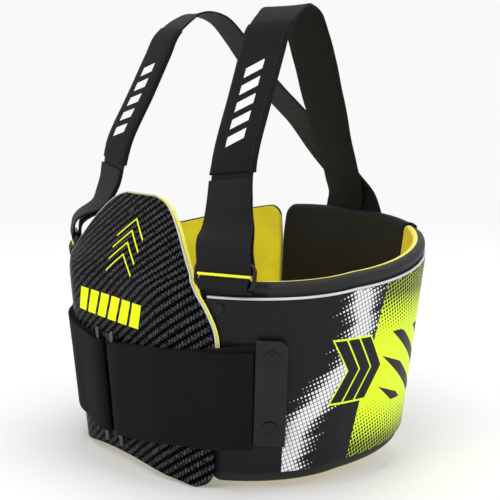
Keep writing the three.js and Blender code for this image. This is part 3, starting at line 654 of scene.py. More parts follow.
def satin_sheet(shader: Shader) -> None:
    """Smooth printed-shell ground: nearly black with a blue cast.

    Args:
        shader: the material's node tree.
    """
    deep, pale = (0.0022, 0.0022, 0.0042), (0.0045, 0.0045, 0.0075)
    shader.set(
        Base_Color=shader.mixed(shader.noise(9.0, 2.0), deep, pale),
        Roughness=shader.noise(35.0) * 0.12 + 0.40,
        Specular_IOR_Level=0.22,
    )
    shader.bump(shader.noise(420.0, 3.0), 0.00005)


def printed_sheet(shader: Shader) -> None:
    """The shell's ground with a swept field of white squares and a bright rear part.

    Args:
        shader: the material's node tree.
    """
    arc, height = shader.wrap()
    black = (0.0032, 0.0032, 0.0058)
    white = (0.80, 0.80, 0.82)
    lime = (0.72, 0.95, 0.012)
    pitch = 3.3
    middle = 12.0
    seam = 252.4

    # A fine raster of squares, turned by a third of a radian
    turned_u = (arc * 0.94 + height * 0.34) / pitch
    turned_v = (height * 0.94 - arc * 0.34) / pitch
    cell_u = ((turned_u.fract() - 0.5).abs()) * 2.0
    cell_v = ((turned_v.fract() - 0.5).abs()) * 2.0
    square = cell_u.most(cell_v)

    # The white band, whose squares shrink outward in uneven rows
    sweep = arc - height * 0.42 - (height * 0.045).sin() * 12.0
    rays = (turned_v.floor() * 0.9).sin() * 0.5 + (turned_v.floor() * 2.3).sin() * 0.5
    band = (sweep - 214.0).abs()
    reach = rays * 9.0 + 25.0
    size = ((band / reach).flipped() * 1.15).least(0.86)
    dots = square.below(size) * arc.above(178.0) * size.above(0.12)
    front_tone = shader.mixed(dots, black, white)

    # The bright rear part, with black squares above and below and a few slashes
    rear = (arc - height * 0.19).step(seam, seam + 0.4)
    away = (height - middle).abs()
    swell = (away / 62.0 - 0.28) * 1.25
    spots = square.below(swell.least(0.9)) * swell.above(0.1)
    lane = ((height * 0.8 + arc * 0.55) / 21.0).fract()
    slash = lane.below(((arc - 272.0) / 70.0).least(0.42)) * away.below(30.0)
    rear_tone = shader.mixed((spots + slash).least(1.0), lime, black)

    # The outlined chevrons over the seam
    rise = (height - middle - 4.0).abs()
    chevron = arc - 246.0 + rise * 0.62
    outline = (((chevron / 13.0).fract() - 0.5).abs()).above(0.435)
    inside = chevron.above(-13.5) * chevron.below(26.5) * rise.below(27.0)
    ends = rise.above(25.4) * inside
    fill = shader.mixed((outline + ends).least(1.0), black, lime)
    both = shader.mixed(rear, front_tone, rear_tone)
    shader.set(
        Base_Color=shader.mixed(inside, both, fill),
        Roughness=shader.noise(35.0) * 0.12 + 0.40,
        Specular_IOR_Level=0.22,
    )
    shader.bump(shader.noise(420.0, 3.0), 0.00005)


def carbon_twill(shader: Shader) -> None:
    """Clear coated two by two twill, with painted highlights along the top tows, a few bright bars and
    a small emblem of chevrons.

    Args:
        shader: the material's node tree.
    """
    across, up = shader.wrap()
    tow = 2.25
    accent_tone = (0.80, 0.92, 0.015)

    # The weave: which tow lies on top, and how each one bends
    u = (across * 0.98 - up * 0.18) / tow
    v = (up * 0.98 + across * 0.18) / tow
    over = (u.floor() - v.floor()).mod(4.0).below(1.5)
    bend_u = (u.fract() - 0.5).abs() * 2.0
    bend_v = (v.fract() - 0.5).abs() * 2.0
    warp_threads = (u * 14.0).sin() * 0.5 + 0.5
    weft_threads = (v * 14.0).sin() * 0.5 + 0.5
    warp = (bend_u * bend_u).flipped() * 0.8 + warp_threads * 0.12
    weft = (bend_v * bend_v).flipped() * 0.8 + weft_threads * 0.12
    height = over * warp + over.flipped() * weft
    # Painted highlight: a grey streak along the middle of each warp tow, broken up by noise. The weft
    # tows get a near-black copy of the same fibre, as painted shade.
    bright = shader.noise(500.0, 2.0).step(0.25, 0.8) * (bend_u * bend_u).flipped()
    warp_tone_with_highlight = shader.mixed(bright, (0.006, 0.006, 0.0065), (0.112, 0.112, 0.115))
    tone = shader.mixed(over.flipped(), warp_tone_with_highlight, (0.0010, 0.0010, 0.0011))

    # Six slanted bars
    lean = across - up * 0.22
    lane = (lean / 17.5).fract()
    bars = lane.above(0.22) * lean.above(-70.0) * lean.below(35.0)
    bars = bars * (up + across * 0.02 - 55.0).abs().below(10.0)

    # Four thin chevrons above them
    rise = (across - 10.0).abs() * 1.1
    chevron = up - 110.0 + rise * 0.7
    lines = ((chevron / 9.5).fract() - 0.5).abs().above(0.41)
    emblem = lines * chevron.above(-11.0) * chevron.below(20.6) * rise.below(22.0)
    accent = (bars + emblem).least(1.0)
    shader.set(
        Base_Color=shader.mixed(accent, tone, accent_tone),
        Roughness=over * 0.08 + 0.30,
        Specular_IOR_Level=0.008,
        Coat_Weight=0.02,
        Coat_Roughness=0.12,
    )
    shader.bump(height * accent.flipped(), 0.00035)


def webbing(shader: Shader) -> None:
    """Ribbed nylon webbing, with selvages along both edges.

    Args:
        shader: the material's node tree.
    """
    across, along = shader.wrap()
    rib = ((along / 1.75).fract() - 0.5).abs() * 2.0
    thread = (across * 5.5).sin() * 0.5 + 0.5
    selvage = across.abs().above(21.6)
    height = (rib * rib).flipped() * 0.8 + thread * 0.2
    height = height * selvage.flipped() + selvage * ((along * 3.0).sin() * 0.3 + 0.5)
    # The colour follows the rib relief: painted shade in the grooves and a painted highlight on the
    # crests, on the ribs and the selvages alike.
    shader.set(
        Base_Color=shader.mixed(height, (0.0015, 0.0015, 0.0015), (0.0085, 0.0085, 0.0085)),
        Roughness=0.66,
        Specular_IOR_Level=0.18,
    )
    shader.bump(height, 0.00045)


def elastic(shader: Shader) -> None:
    """Wide woven elastic with fine upright ribs.

    Args:
        shader: the material's node tree.
    """
    along, across = shader.wrap()
    rib = (along * 4.4).sin() * 0.5 + 0.5
    pick = (across * 5.2).sin() * 0.5 + 0.5
    edge = across.abs().step(37.0, 38.5)
    height = rib * 0.5 + pick * 0.3 + edge * ((across * 9.0).sin() * 0.3)
    cloud = shader.noise(30.0, 4.0)
    tone = shader.mixed(cloud, (0.0035, 0.0035, 0.0036), (0.0075, 0.0075, 0.0078))
    shader.set(Base_Color=tone, Roughness=0.85, Specular_IOR_Level=0.12)
    shader.bump(height, 0.00018)
    shader.bump(shader.noise(18.0, 3.0), 0.0012, 0.5)


def sleeve_cloth(shader: Shader) -> None:
    """Smooth padded cloth with a hem, a stitched edge and slanted white bars.

    Args:
        shader: the material's node tree.
    """
    across, along = shader.wrap()
    weave = (across * 6.5).sin() * (along * 6.5).sin() * 0.5 + 0.5
    hem = ((along - 9.0).abs()).below(0.45)
    stitch = ((across.abs() - 22.2).abs()).below(0.35) * ((along / 3.4).fract()).below(0.7)
    lean = along - across * 0.36
    lane = ((lean - 24.0) / 15.0).fract()
    bars = lane.below(0.56) * lean.above(24.0) * lean.below(98.0) * (across.abs()).below(9.5)
    cloud = shader.noise(40.0, 3.0)
    tone = shader.mixed(cloud, (0.0025, 0.0025, 0.0025), (0.006, 0.006, 0.006))
    tone = shader.mixed(stitch, tone, (0.02, 0.02, 0.02))
    shader.set(
        Base_Color=shader.mixed(bars, tone, (0.78, 0.78, 0.78)),
        Roughness=bars.flipped() * 0.25 + 0.5,
        Specular_IOR_Level=0.16,
    )
    shader.bump(weave, 0.00012, 0.6)
    shader.bump((hem + stitch).flipped(), 0.0004)


def plain(
    color: tuple[float, float, float],
    roughness: float,
    metallic: float = 0.0,
    grain: float = 300.0,
) -> Paint:
    """A moulded, coated or bare surface with a fine grain.

    Args:
        color: base colour.
        roughness: mean roughness.
        metallic: metal share.
        grain: waves of the grain to the metre.

    Returns:
        The paint function.
    """

    def paint(shader: Shader) -> None:
        """Builds the plain surface's node tree.

        Args:
            shader: the material's node tree.
        """
        worn = tuple(min(c * 1.3 + 0.001, 1.0) for c in color)
        tone = shader.mixed(shader.noise(24.0, 4.0).step(0.4, 0.8), color, worn)
        shader.set(
            Base_Color=tone,
            Roughness=shader.noise(70.0) * 0.16 + (roughness - 0.08),
            Metallic=metallic,
            Specular_IOR_Level=0.3,
        )
        shader.bump(shader.noise(grain, 3.0), 0.00004)

    return paint


class Finishes:
    """Every finish of the object."""

    SHELL = Finish("Printed shell", Slot.SHELL, printed_sheet)
    SHELL_BARE = Finish("Bare shell", Slot.SHELL, satin_sheet)
    PIPING = Finish("Light piping", Slot.PIPING, plain((0.56, 0.56, 0.60), 0.42))
    BORDER = Finish("Dark border leather", Slot.LINER, leather((0.014, 0.014, 0.0135), 0.5, 0.0006))
    # The yellow edge is the real yellow layer, painted paler and brighter than the lining as a
    # highlight along rolled rims.
    EDGE = Finish("Yellow edge", Slot.LINER, leather((0.93, 0.88, 0.13), 0.5, 0.0002))
    LINING = Finish("Yellow lining", Slot.LINER, leather((0.99, 0.80, 0.028), 0.55, 0.0016))
    PANEL = Finish("Black panel leather", Slot.PANEL, leather((0.0018, 0.0018, 0.0018), 0.62, 0.0007))
    CARBON = Finish("Carbon twill", Slot.CARBON, carbon_twill)
    ELASTIC = Finish("Belt elastic", Slot.ELASTIC, elastic)
    METAL = Finish("Black coated metal", Slot.METAL, plain((0.0055, 0.0055, 0.0058), 0.42, 0.1, 900.0))
    STEEL = Finish("Bare steel", Slot.STEEL, plain((0.09, 0.09, 0.095), 0.36, 0.9))
    WEBBING = Finish("Ribbed webbing", Slot.WEBBING, webbing)
    SLEEVE = Finish("Sleeve cloth", Slot.SLEEVE, sleeve_cloth)
    LOCK = Finish("Moulded lock", Slot.LOCK, plain((0.004, 0.004, 0.0045), 0.3))
    BAR = Finish("Yellow bar", Slot.BAR, plain((0.72, 0.78, 0.03), 0.4))


# Mesh building


def select_only(obj: bpy.types.Object) -> None:
    """Makes one object the only selected and active one.

    Args:
        obj: the object.
    """
    bpy.ops.object.select_all(action="DESELECT")
    obj.select_set(True)
    bpy.context.view_layer.objects.active = obj


def apply_modifiers(obj: bpy.types.Object) -> None:
    """Applies all modifiers of an object, in order.

    Args:
        obj: the object.
    """
    select_only(obj)
    for modifier in list(obj.modifiers):
        bpy.ops.object.modifier_apply(modifier=modifier.name)


def mend(obj: bpy.types.Object) -> None:
    """Merges points that meet and turns all faces outward.

    Args:
        obj: the object.
    """
    select_only(obj)
    bpy.ops.object.mode_set(mode="EDIT")
    bpy.ops.mesh.select_all(action="SELECT")
    bpy.ops.mesh.remove_doubles(threshold=2e-6)
    bpy.ops.mesh.normals_make_consistent(inside=False)
    bpy.ops.object.mode_set(mode="OBJECT")


def flip_faces(obj: bpy.types.Object) -> None:
    """Turns all faces of an object round.

    Args:
        obj: the object.
    """
    select_only(obj)
    bpy.ops.object.mode_set(mode="EDIT")
    bpy.ops.mesh.select_all(action="SELECT")
    bpy.ops.mesh.flip_normals()
    bpy.ops.object.mode_set(mode="OBJECT")


def seat_on(obj: bpy.types.Object, matrix: Matrix) -> None:
    """Moves a mesh made at the origin into a frame given in millimetres.

    Args:
        obj: the object, whose mesh is in metres.
        matrix: the frame.
    """
    scaled = matrix.copy()
    scaled.translation = matrix.translation * MM
    obj.data.transform(scaled)


def laid_box(size: tuple[float, float, float], place: tuple[float, float, float]) -> bpy.types.Object:
    """A box primitive with its size and place in its mesh.

    Args:
        size: its three sizes in millimetres.
        place: its middle in millimetres.

    Returns:
        The box.
    """
    bpy.ops.object.select_all(action="DESELECT")
    bpy.ops.mesh.primitive_cube_add(size=1, location=[p * MM for p in place])
    obj = bpy.context.active_object
    obj.scale = [s * MM for s in size]
    bpy.ops.object.transform_apply(location=True, rotation=True, scale=True)
    return obj


def rounded(obj: bpy.types.Object, radius: float) -> None:
    """Rounds an object's sharp edges.

    Args:
        obj: the object.
        radius: in millimetres.
    """
    rim = obj.modifiers.new("Rim", "BEVEL")
    rim.width = radius * MM
    rim.segments = EDGE_FACES
    apply_modifiers(obj)


def softened(obj: bpy.types.Object) -> None:
    """Subdivides a padded piece once, so that its form turns soft.

    Args:
        obj: the piece.
    """
    smoother = obj.modifiers.new("Soft", "SUBSURF")
    smoother.levels = smoother.render_levels = 1
    apply_modifiers(obj)


def distances(points: Sequence[Vector]) -> list[float]:
    """Distance along a path at each of its points.

    Args:
        points: the path.

    Returns:
        The distances, from 0.
    """
    lengths = [0.0]
    for before, after in zip(points, points[1:]):
        lengths.append(lengths[-1] + (after - before).length)
    return lengths


def laid_grid(name: str, columns: int, rows: int, placer: Placer) -> bpy.types.Object:
    """A grid primitive whose points are laid on a surface.

    Args:
        name: the object's name.
        columns: faces along the first direction.
        rows: faces along the second.
        placer: gives the point and the two metric coordinates, in millimetres.

    Returns:
        The object, with its metric coordinates in the UV map Wrap.
    """
    bpy.ops.object.select_all(action="DESELECT")
    bpy.ops.mesh.primitive_grid_add(x_subdivisions=columns, y_subdivisions=rows, size=1)
    obj = bpy.context.active_object
    obj.name = name
    mesh = obj.data
    mesh.name = name
    wraps = []
    for vertex in mesh.vertices:
        point, s, t = placer(vertex.co.x + 0.5, vertex.co.y + 0.5)
        wraps.append((s * MM, t * MM))
        vertex.co = point * MM
    layer = mesh.uv_layers.active
    layer.name = "Wrap"
    for loop in mesh.loops:
        layer.data[loop.index].uv = wraps[loop.vertex_index]
    mesh.update()
    return obj


def finish_piece(obj: bpy.types.Object, finish: Finish, node: str, angle: float = 40.0) -> None:
    """Gives a piece its name, material and body, and hides the CAD node that it stands for.

    Args:
        obj: the piece.
        finish: its finish.
        node: the CAD node that it stands for.
        angle: edges sharper than this stay sharp, in degrees.
    """
    obj.name = f"{node}_piece"
    obj.data.name = obj.name
    if not obj.data.materials:
        obj.data.materials.append(finish.material())
    select_only(obj)
    bpy.ops.object.shade_smooth_by_angle(angle=math.radians(angle))
    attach(obj, "root")
    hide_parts(node)
    LOG.info("%s: %d faces", obj.name, len(obj.data.polygons))


def thickened(obj: bpy.types.Object, thickness: float, offset: float, edge: float) -> None:
    """Gives a sheet its thickness and rounds its edges.

    Args:
        obj: the sheet.
        thickness: in millimetres.
        offset: -1 grows against the normals, 0 both ways.
        edge: radius of the rounded edges in millimetres.
    """
    solid = obj.modifiers.new("Thickness", "SOLIDIFY")
    solid.thickness = thickness * MM
    solid.offset = offset
    solid.use_even_offset = True
    bevel = obj.modifiers.new("Edges", "BEVEL")
    bevel.width = edge * MM
    bevel.segments = EDGE_FACES
    bevel.limit_method = "ANGLE"
    bevel.angle_limit = math.radians(50)
    apply_modifiers(obj)


def tube(
    name: str,
    path: Sequence[Vector],
    radius: float | Sequence[float],
    sides: int,
    closed: bool = False,
    normal: Vector | None = None,
) -> bpy.types.Object:
    """A round tube along a path, closed where its end radii are 0 or the path closes.

    Args:
        name: the object's name.
        path: points in millimetres.
        radius: one radius in millimetres, or one for each point.
        sides: faces round it.
        closed: whether the path closes on itself.
        normal: a direction that lies across the path, upward where none is given.

    Returns:
        The object.
    """
    count = len(path)
    radii = [radius] * count if isinstance(radius, (int, float)) else list(radius)
    frames = []
    for k in range(count):
        after = path[(k + 1) % count] if closed else path[min(k + 1, count - 1)]
        before = path[k - 1] if closed else path[max(k - 1, 0)]
        along = (after - before).normalized()
        hint = normal if normal is not None else Vector((0.0, 0.0, 1.0))
        if abs(along.dot(hint)) > 0.95:
            hint = Vector((0.0, 1.0, 0.0))
        side = along.cross(hint).normalized()
        frames.append((path[k], side, side.cross(along).normalized(), radii[k]))
    lengths = distances(path)
    steps = count if closed else count - 1

    def placer(u: float, v: float) -> Place:
        """A place round the section at a share along the path.

        Args:
            u: share along the path.
            v: share round the section.

        Returns:
            The point and its two metric coordinates.
        """
        k = round(u * steps)
        centre, side, up, r = frames[k % count]
        turn = v * math.tau
        offset = side * math.cos(turn) * r + up * math.sin(turn) * r
        return centre + offset, lengths[min(k, count - 1)], v * math.tau * r

    obj = laid_grid(name, steps, sides, placer)
    mend(obj)
    return obj


def round_ended(path: list[Vector], radius: float) -> tuple[list[Vector], list[float]]:
    """A path with extra points and shrinking radii, for a tube with round ends.

    Args:
        path: points in millimetres.
        radius: the tube's radius.

    Returns:
        The longer path, and a radius for each of its points.
    """
    start, end = path[0], path[-1]
    first = (path[1] - start).normalized()
    last = (end - path[-2]).normalized()
    swings = (0.0, 0.25, 0.5, 0.75)
    points, radii = [], []
    for s in swings:
        points.append(start - first * radius * math.cos(s * math.pi / 2))
        radii.append(radius * math.sin(s * math.pi / 2))
    points += path
    radii += [radius] * len(path)
    for s in reversed(swings):
        points.append(end + last * radius * math.cos(s * math.pi / 2))
        radii.append(radius * math.sin(s * math.pi / 2))
    return points, radii


@dataclass
class Liner:
    """One padded liner, whose dark border shows and whose lining is yellow.

    Attributes:
        side: the wearer's side.
        rear: angle of its rear end, in degrees.
        front: angle of its front end, in degrees.
        thickness: of the padding.
        set_back: depth of the rim above the shell.
        edge: radius of the rolled edges.
        pocket: depth of the pocket for the strap anchor.
    """

    side: Side
    rear: float
    front: float = 39.0
    thickness: float = 7.5
    set_back: float = 1.2
    edge: float = 3.0
    pocket: float = 3.0

    def _section(self, arc: float, start: float, end: float) -> list[tuple[float, float]]:
        """The closed section of the padding at a place along it.

        Args:
            arc: distance along the top edge.
            start: where the liner starts.
            end: where it ends.

        Returns:
            Depth and height of each point, up the outer face and down the inner one.
        """
        angle = angle_at(arc)
        away = min(arc - start, end - arc)
        cut = corner_cut(away, LINER_CORNER)
        pocket = self.pocket * (1 - smooth(abs(arc - arc_at(LOCK_ANGLE)), 28.5, 35.5))
        shell_end = arc_at(SHELL_REAR)
        rim_depth = mix(self.set_back, INSIDE_SHELL, smooth(arc, shell_end - 8, shell_end - 1))
        top, bottom = FORM.top_at(angle), FORM.bottom_at(angle)
        seat = top + 3.05
        rim = top + RIM_ABOVE - cut
        low = bottom - BORDER_BELOW + cut
        inner = INSIDE_SHELL + self.thickness
        swell = 0.9 * smooth(away, 0, 30)

        def outer(height: float) -> float:
            """Depth of the outer face at a height.

            Args:
                height: above the origin.

            Returns:
                The depth.
            """
            rim_share = clamp((height - seat) / (rim - seat), 0, 1)
            border_share = clamp((bottom - height) / BORDER_BELOW, 0, 1)
            lean = mix(INSIDE_SHELL, rim_depth, smooth(height, seat, seat + 3.5))
            lean -= 0.7 * math.sin(math.pi * rim_share) * smooth(away, 2, 12)
            border = 0.8 * math.sin(math.pi * border_share)
            return lean + pocket * smooth(height, top - 26, top - 20) - border

        tuck = top - 17
        levels = [low, low + 0.8, low + self.edge, low + 6.5, bottom + 3, tuck - 9, tuck - 3]
        levels += [seat, seat + 1.7, seat + 3.5, rim - 5.2, rim - self.edge, rim - 1.0, rim]
        last = len(levels) - 1
        heights = [clamp(h, low + k * 0.3, rim - (last - k) * 0.3) for k, h in enumerate(levels)]
        shares = {0: 0.34, 1: 0.10, last: 0.60, last - 1: 0.16}
        loop = [(mix(outer(h), inner, shares.get(k, 0.0)), h) for k, h in enumerate(heights)]
        shares = {0: 0.34, 1: 0.10, last: 0.14}
        for k in range(last, -1, -1):
            height = heights[k]
            bulge = swell * math.sin(math.pi * clamp((height - low) / (rim - low), 0, 1)) ** 0.5
            depth = mix(inner + bulge, outer(height), shares.get(k, 0.0))
            loop.append((depth, height))
        middle = (min(p[0] for p in loop) + max(p[0] for p in loop)) / 2
        thin = math.sqrt(1 - (1 - clamp(away / 3.2, 0, 1)) ** 2)
        return [(mix(middle, depth, thin), height) for depth, height in loop]

    def build(self) -> None:
        start, end = arc_at(self.front), arc_at(self.rear)
        arcs = end_places(start, end, 3.2, 12.5)
        loops = [self._section(arc, start, end) for arc in arcs]
        count = len(loops[0])

        def placer(u: float, v: float) -> Place:
            """A place round the section at a share along the liner.

            Args:
                u: share along the liner.
                v: share round the section.

            Returns:
                The point and its two metric coordinates.
            """
            k = round(u * (len(arcs) - 1))
            j = round(v * count) % count
            depth, height = loops[k][j]
            angle = angle_at(arcs[k] - notch_lean(arcs[k], end, height))
            return mirrored(FORM.point(angle, depth, height), self.side), arcs[k], height

        obj = laid_grid(f"{self.side.word}_pad", len(arcs) - 1, count, placer)
        half = count // 2
        for finish in (Finishes.BORDER, Finishes.EDGE, Finishes.LINING):
            obj.data.materials.append(finish.material())

        # Dark leather covers the outer face, the lower edge and, on the right, the rim. The other rim
        # rows get the yellow edge: the real yellow layer, painted paler and brighter as a highlight
        # along the rolled rim.
        for index, face in enumerate(obj.data.polygons):
            row = index // (len(arcs) - 1)
            dark = row < half - 1 + (self.side is Side.RIGHT) * 2 or row >= count - 4
            face.material_index = 0 if dark else (1 if row <= half else 2)
        mend(obj)
        softened(obj)
        finish_piece(obj, Finishes.LINING, f"{self.side.word}_pad", 70.0)


@dataclass
class BackPanel:
    """The padded panel between the liners' rear ends, with a thin tongue on its left edge.

    Attributes:
        front: angle of its left seam, in degrees.
        rear: angle of its right end, in degrees.
        thickness: of the padding.
        tongue: thickness of the tongue.
        set_back: depth of its outer face.
    """

    front: float = 152.0
    rear: float = 204.0
    thickness: float = 8.5
    tongue: float = 2.0
    set_back: float = 0.5

    def build(self) -> None:
        seam = arc_at(self.front) + 0.8
        end = arc_at(self.rear) - 0.8
        start = seam - 10.0
        arcs = [mix(start, seam, k / 6) for k in range(7)]
        arcs += end_places(seam + 1.5, end, 3.0, 12.5)
        rows = 22

        def section(arc: float, v: float) -> tuple[float, float]:
            """Depth and height at a share round the section.

            Args:
                arc: distance along the top edge.
                v: share round the section.

            Returns:
                The depth and the height.
            """
            angle = angle_at(arc)
            cut = corner_cut(end - arc, LINER_CORNER)
            rim = FORM.top_at(angle) + RIM_ABOVE - cut
            low = FORM.bottom_at(angle) - BORDER_BELOW + cut
            thick = self.thickness if arc > seam + 1 else self.tongue
            thin = math.sqrt(1 - (1 - clamp((end - arc) / 3.2, 0, 1)) ** 2)
            front = v < 0.5
            share = v * 2 if front else 2 - v * 2
            height = mix(low, rim, (1 - math.cos(math.pi * share)) / 2)
            near = min(height - low, rim - height)
            round_off = math.sqrt(1 - (1 - clamp(near / (thick / 2), 0, 1)) ** 2)
            half = thick / 2 * round_off * thin
            middle = self.set_back + thick / 2
            swell = 1.0 * smooth(near, 0, 40) * smooth(end - arc, 0, 30) * smooth(arc - seam, 2, 30)
            return (middle - half if front else middle + half + swell), height

        def placer(u: float, v: float) -> Place:
            """A place round the section at a share along the panel.

            Args:
                u: share along the panel.
                v: share round the section.

            Returns:
                The point and its two metric coordinates.
            """
            arc = arcs[round(u * (len(arcs) - 1))]
            depth, height = section(arc, 0.0 if v > 0.9999 else v)
            angle = angle_at(arc - notch_lean(arc, end, height, 0.6))
            return FORM.point(angle, depth, height), arc, height

        obj = laid_grid("back_panel", len(arcs) - 1, rows * 2, placer)
        mend(obj)
        softened(obj)
        finish_piece(obj, Finishes.PANEL, "back_panel", 70.0)


@dataclass
class Shell:
    """One hard side shell with the piping on its top edge.

    Attributes:
        side: the wearer's side.
        corner: radius of its rear corners.
        piping: diameter of the piping.
        piping_front: angle where the piping starts, in degrees.
        rivet_angle: angle of the small rivet, in degrees.
        rivet_drop: how far it lies below the top edge.
    """

    side: Side
    corner: float = 16.0
    piping: float = 2.2
    piping_front: float = 40.0
    rivet_angle: float = 43.3
    rivet_drop: float = 7.0

    def build(self) -> None:
        """Makes the shell, its piping and the rivet below the strap anchor."""
        start, end = arc_at(SHELL_FRONT), arc_at(SHELL_REAR)
        arcs = end_places(start, end, 3.4, 16.0)

        def placer(u: float, v: float) -> Place:
            """A place on the outer face.

            Args:
                u: share across.
                v: share of the height.

            Returns:
                The point and its two metric coordinates.
            """
            arc = arcs[round(u * (len(arcs) - 1))]
            angle = angle_at(arc)
            cut = corner_cut(end - arc, self.corner)
            height = mix(FORM.bottom_at(angle) + cut, FORM.top_at(angle) - cut, v)
            return mirrored(FORM.point(angle, 0.0, height), self.side), arc, height

        obj = laid_grid(f"{self.side.word}_shell", len(arcs) - 1, 18, placer)
        self._face_outward(obj)
        thickened(obj, SHELL_WALL, -1.0, 0.6)
        finish = Finishes.SHELL if self.side is Side.LEFT else Finishes.SHELL_BARE
        finish_piece(obj, finish, f"{self.side.word}_shell")
        self._piping(end)
        angle = math.radians(self.rivet_angle)
        matrix = FORM.frame_at(angle, GAP, FORM.top_at(angle) - self.rivet_drop, self.side)
        Rivet(f"{self.side.word}_shell_rivet", 4.2, 1.8).build(matrix)

    @staticmethod
    def _face_outward(obj: bpy.types.Object) -> None:
        """Turns the sheet's faces away from the wearer.

        Args:
            obj: the sheet.
        """
        face = obj.data.polygons[len(obj.data.polygons) // 2]
        outward = Vector((face.center.x, face.center.y, 0.0))
        if face.normal.dot(outward) < 0:
            flip_faces(obj)

    def _piping(self, end: float) -> None:
        """Makes the piping on the top edge.

        Args:
            end: where the shell ends, along the top edge.
        """
        begin = arc_at(self.piping_front)
        last = end - self.corner
        path = []
        steps = 130
        for k in range(steps + 1):
            angle = angle_at(mix(begin, last, k / steps))
            height = FORM.top_at(angle) + GAP + self.piping / 2
            path.append(mirrored(FORM.point(angle, 1.05, height), self.side))
        points, radii = round_ended(path, self.piping / 2)
        obj = tube(f"{self.side.word}_shell_piping", points, radii, 12)
        finish_piece(obj, Finishes.PIPING, f"{self.side.word}_shell_piping", 80.0)


@dataclass
class Rivet:
    """A round pressed rivet head with a raised ring and a low dome.

    Attributes:
        name: the CAD node's name.
        radius: head radius in millimetres.
        height: head height in millimetres.
    """

    name: str
    radius: float
    height: float

    def build(self, matrix: Matrix) -> None:
        """Makes the head.

        Args:
            matrix: its frame in millimetres, whose third axis points outward.
        """
        r, h = self.radius, self.height
        bpy.ops.object.select_all(action="DESELECT")
        bpy.ops.mesh.primitive_cylinder_add(vertices=48, radius=r * MM, depth=h * 0.55 * MM)
        head = bpy.context.active_object
        head.location.z = h * 0.28 * MM
        bevel = head.modifiers.new("Edge", "BEVEL")
        bevel.width = h * 0.3 * MM
        bevel.segments = 4
        bevel.limit_method = "ANGLE"
        apply_modifiers(head)
        bpy.ops.mesh.primitive_torus_add(
            major_segments=48,
            minor_segments=10,
            major_radius=r * 0.6 * MM,
            minor_radius=r * 0.09 * MM,
            location=(0, 0, h * 0.56 * MM),
        )
        ring = bpy.context.active_object
        bpy.ops.mesh.primitive_uv_sphere_add(segments=32, ring_count=16, radius=r * 0.42 * MM)
        dome = bpy.context.active_object
        dome.scale = (1, 1, 0.6 * h / r)
        dome.location.z = h * 0.5 * MM
        bpy.ops.object.select_all(action="DESELECT")
        for item in (head, ring, dome):
            item.select_set(True)
        bpy.context.view_layer.objects.active = head
        bpy.ops.object.join()
        head.name = self.name
        bpy.ops.object.transform_apply(location=True, rotation=True, scale=True)
        seat_on(head, matrix)
        finish_piece(head, Finishes.METAL, self.name, 50.0)


# The plate's outline: share of its height, and half width there as a share of the greatest
PLATE_ROWS = (
    (0.0, 0.78),
    (0.013, 0.845),
    (0.044, 0.895),
    (0.12, 0.912),
    (0.28, 0.947),
    (0.44, 0.978),
    (0.526, 0.989),
    (0.57, 0.985),
    (0.614, 0.964),
    (0.658, 0.931),
    (0.702, 0.884),
    (0.746, 0.833),
    (0.79, 0.762),
    (0.835, 0.685),
    (0.88, 0.603),
    (0.92, 0.518),
    (0.96, 0.415),
    (0.985, 0.315),
    (1.0, 0.2),
)


@dataclass(frozen=True)
class ChestForm:
    """The chest plate's surface and outline, in millimetres.

    Attributes:
        top: height of its top edge.
        bottom: height of its bottom edge at the sides.
        half_width: half its greatest width.
        stand_off: distance of its outer face from the shells' outer face.
        arch: rise of the bottom edge at the middle.
        lean_start: height where it starts to lean back.
        lean: run of the lean for each unit of height.
    """

    top: float = 148.0
    bottom: float = -80.0
    half_width: float = 115.6
    stand_off: float = 5.9
    arch: float = 10.7
    lean_start: float = 88.0
    lean: float = 0.5

    def flattening(self, across: float, height: float) -> float:
        """How far the chest lies inside the oval.

        Args:
            across: distance from the middle plane.
            height: height above the origin.

        Returns:
            The depth.
        """
        shell_end = FORM.point(math.radians(SHELL_FRONT), 0.0, height).x - 9
        amount = mix(6.7, 12.0, smooth(height, 32.0, 72.0))
        reach = mix(shell_end, self.half_width, smooth(height, 80.0, 96.0))
        return amount * max(0.0, 1 - (across / reach) ** 2) ** 1.5

    def point(self, across: float, height: float, behind: float) -> Vector:
        """A point on the plate's outer face, or behind it.

        Args:
            across: distance from the middle plane.
            height: height above the origin.
            behind: distance behind the outer face.

        Returns:
            The point.
        """
        rise = height - self.lean_start
        lean = self.lean * 0.5 * (rise + math.hypot(rise, 12.0))
        depth = FORM.depth_at(across, height, self.stand_off)
        depth -= self.flattening(across, height) + lean
        return Vector((across, behind - depth, height))

    def reach(self, up: float) -> float:
        """Half width at a share of the height."""
        xs, ys = zip(*PLATE_ROWS)
        return soft_table(up, xs, ys) * self.half_width

    def height(self, up: float, across: float) -> float:
        """Height of a row at a place across, with the arch of the bottom edge.

        Args:
            up: share of the height.
            across: distance from the middle plane.

        Returns:
            The height.
        """
        height = mix(self.bottom, self.top, up)
        fade = clamp(height / self.bottom, 0.0, 1.0)
        lobe = 0.76 * self.half_width
        return height + self.arch * fade * max(0.0, 1 - (across / lobe) ** 2)


CHEST = ChestForm()


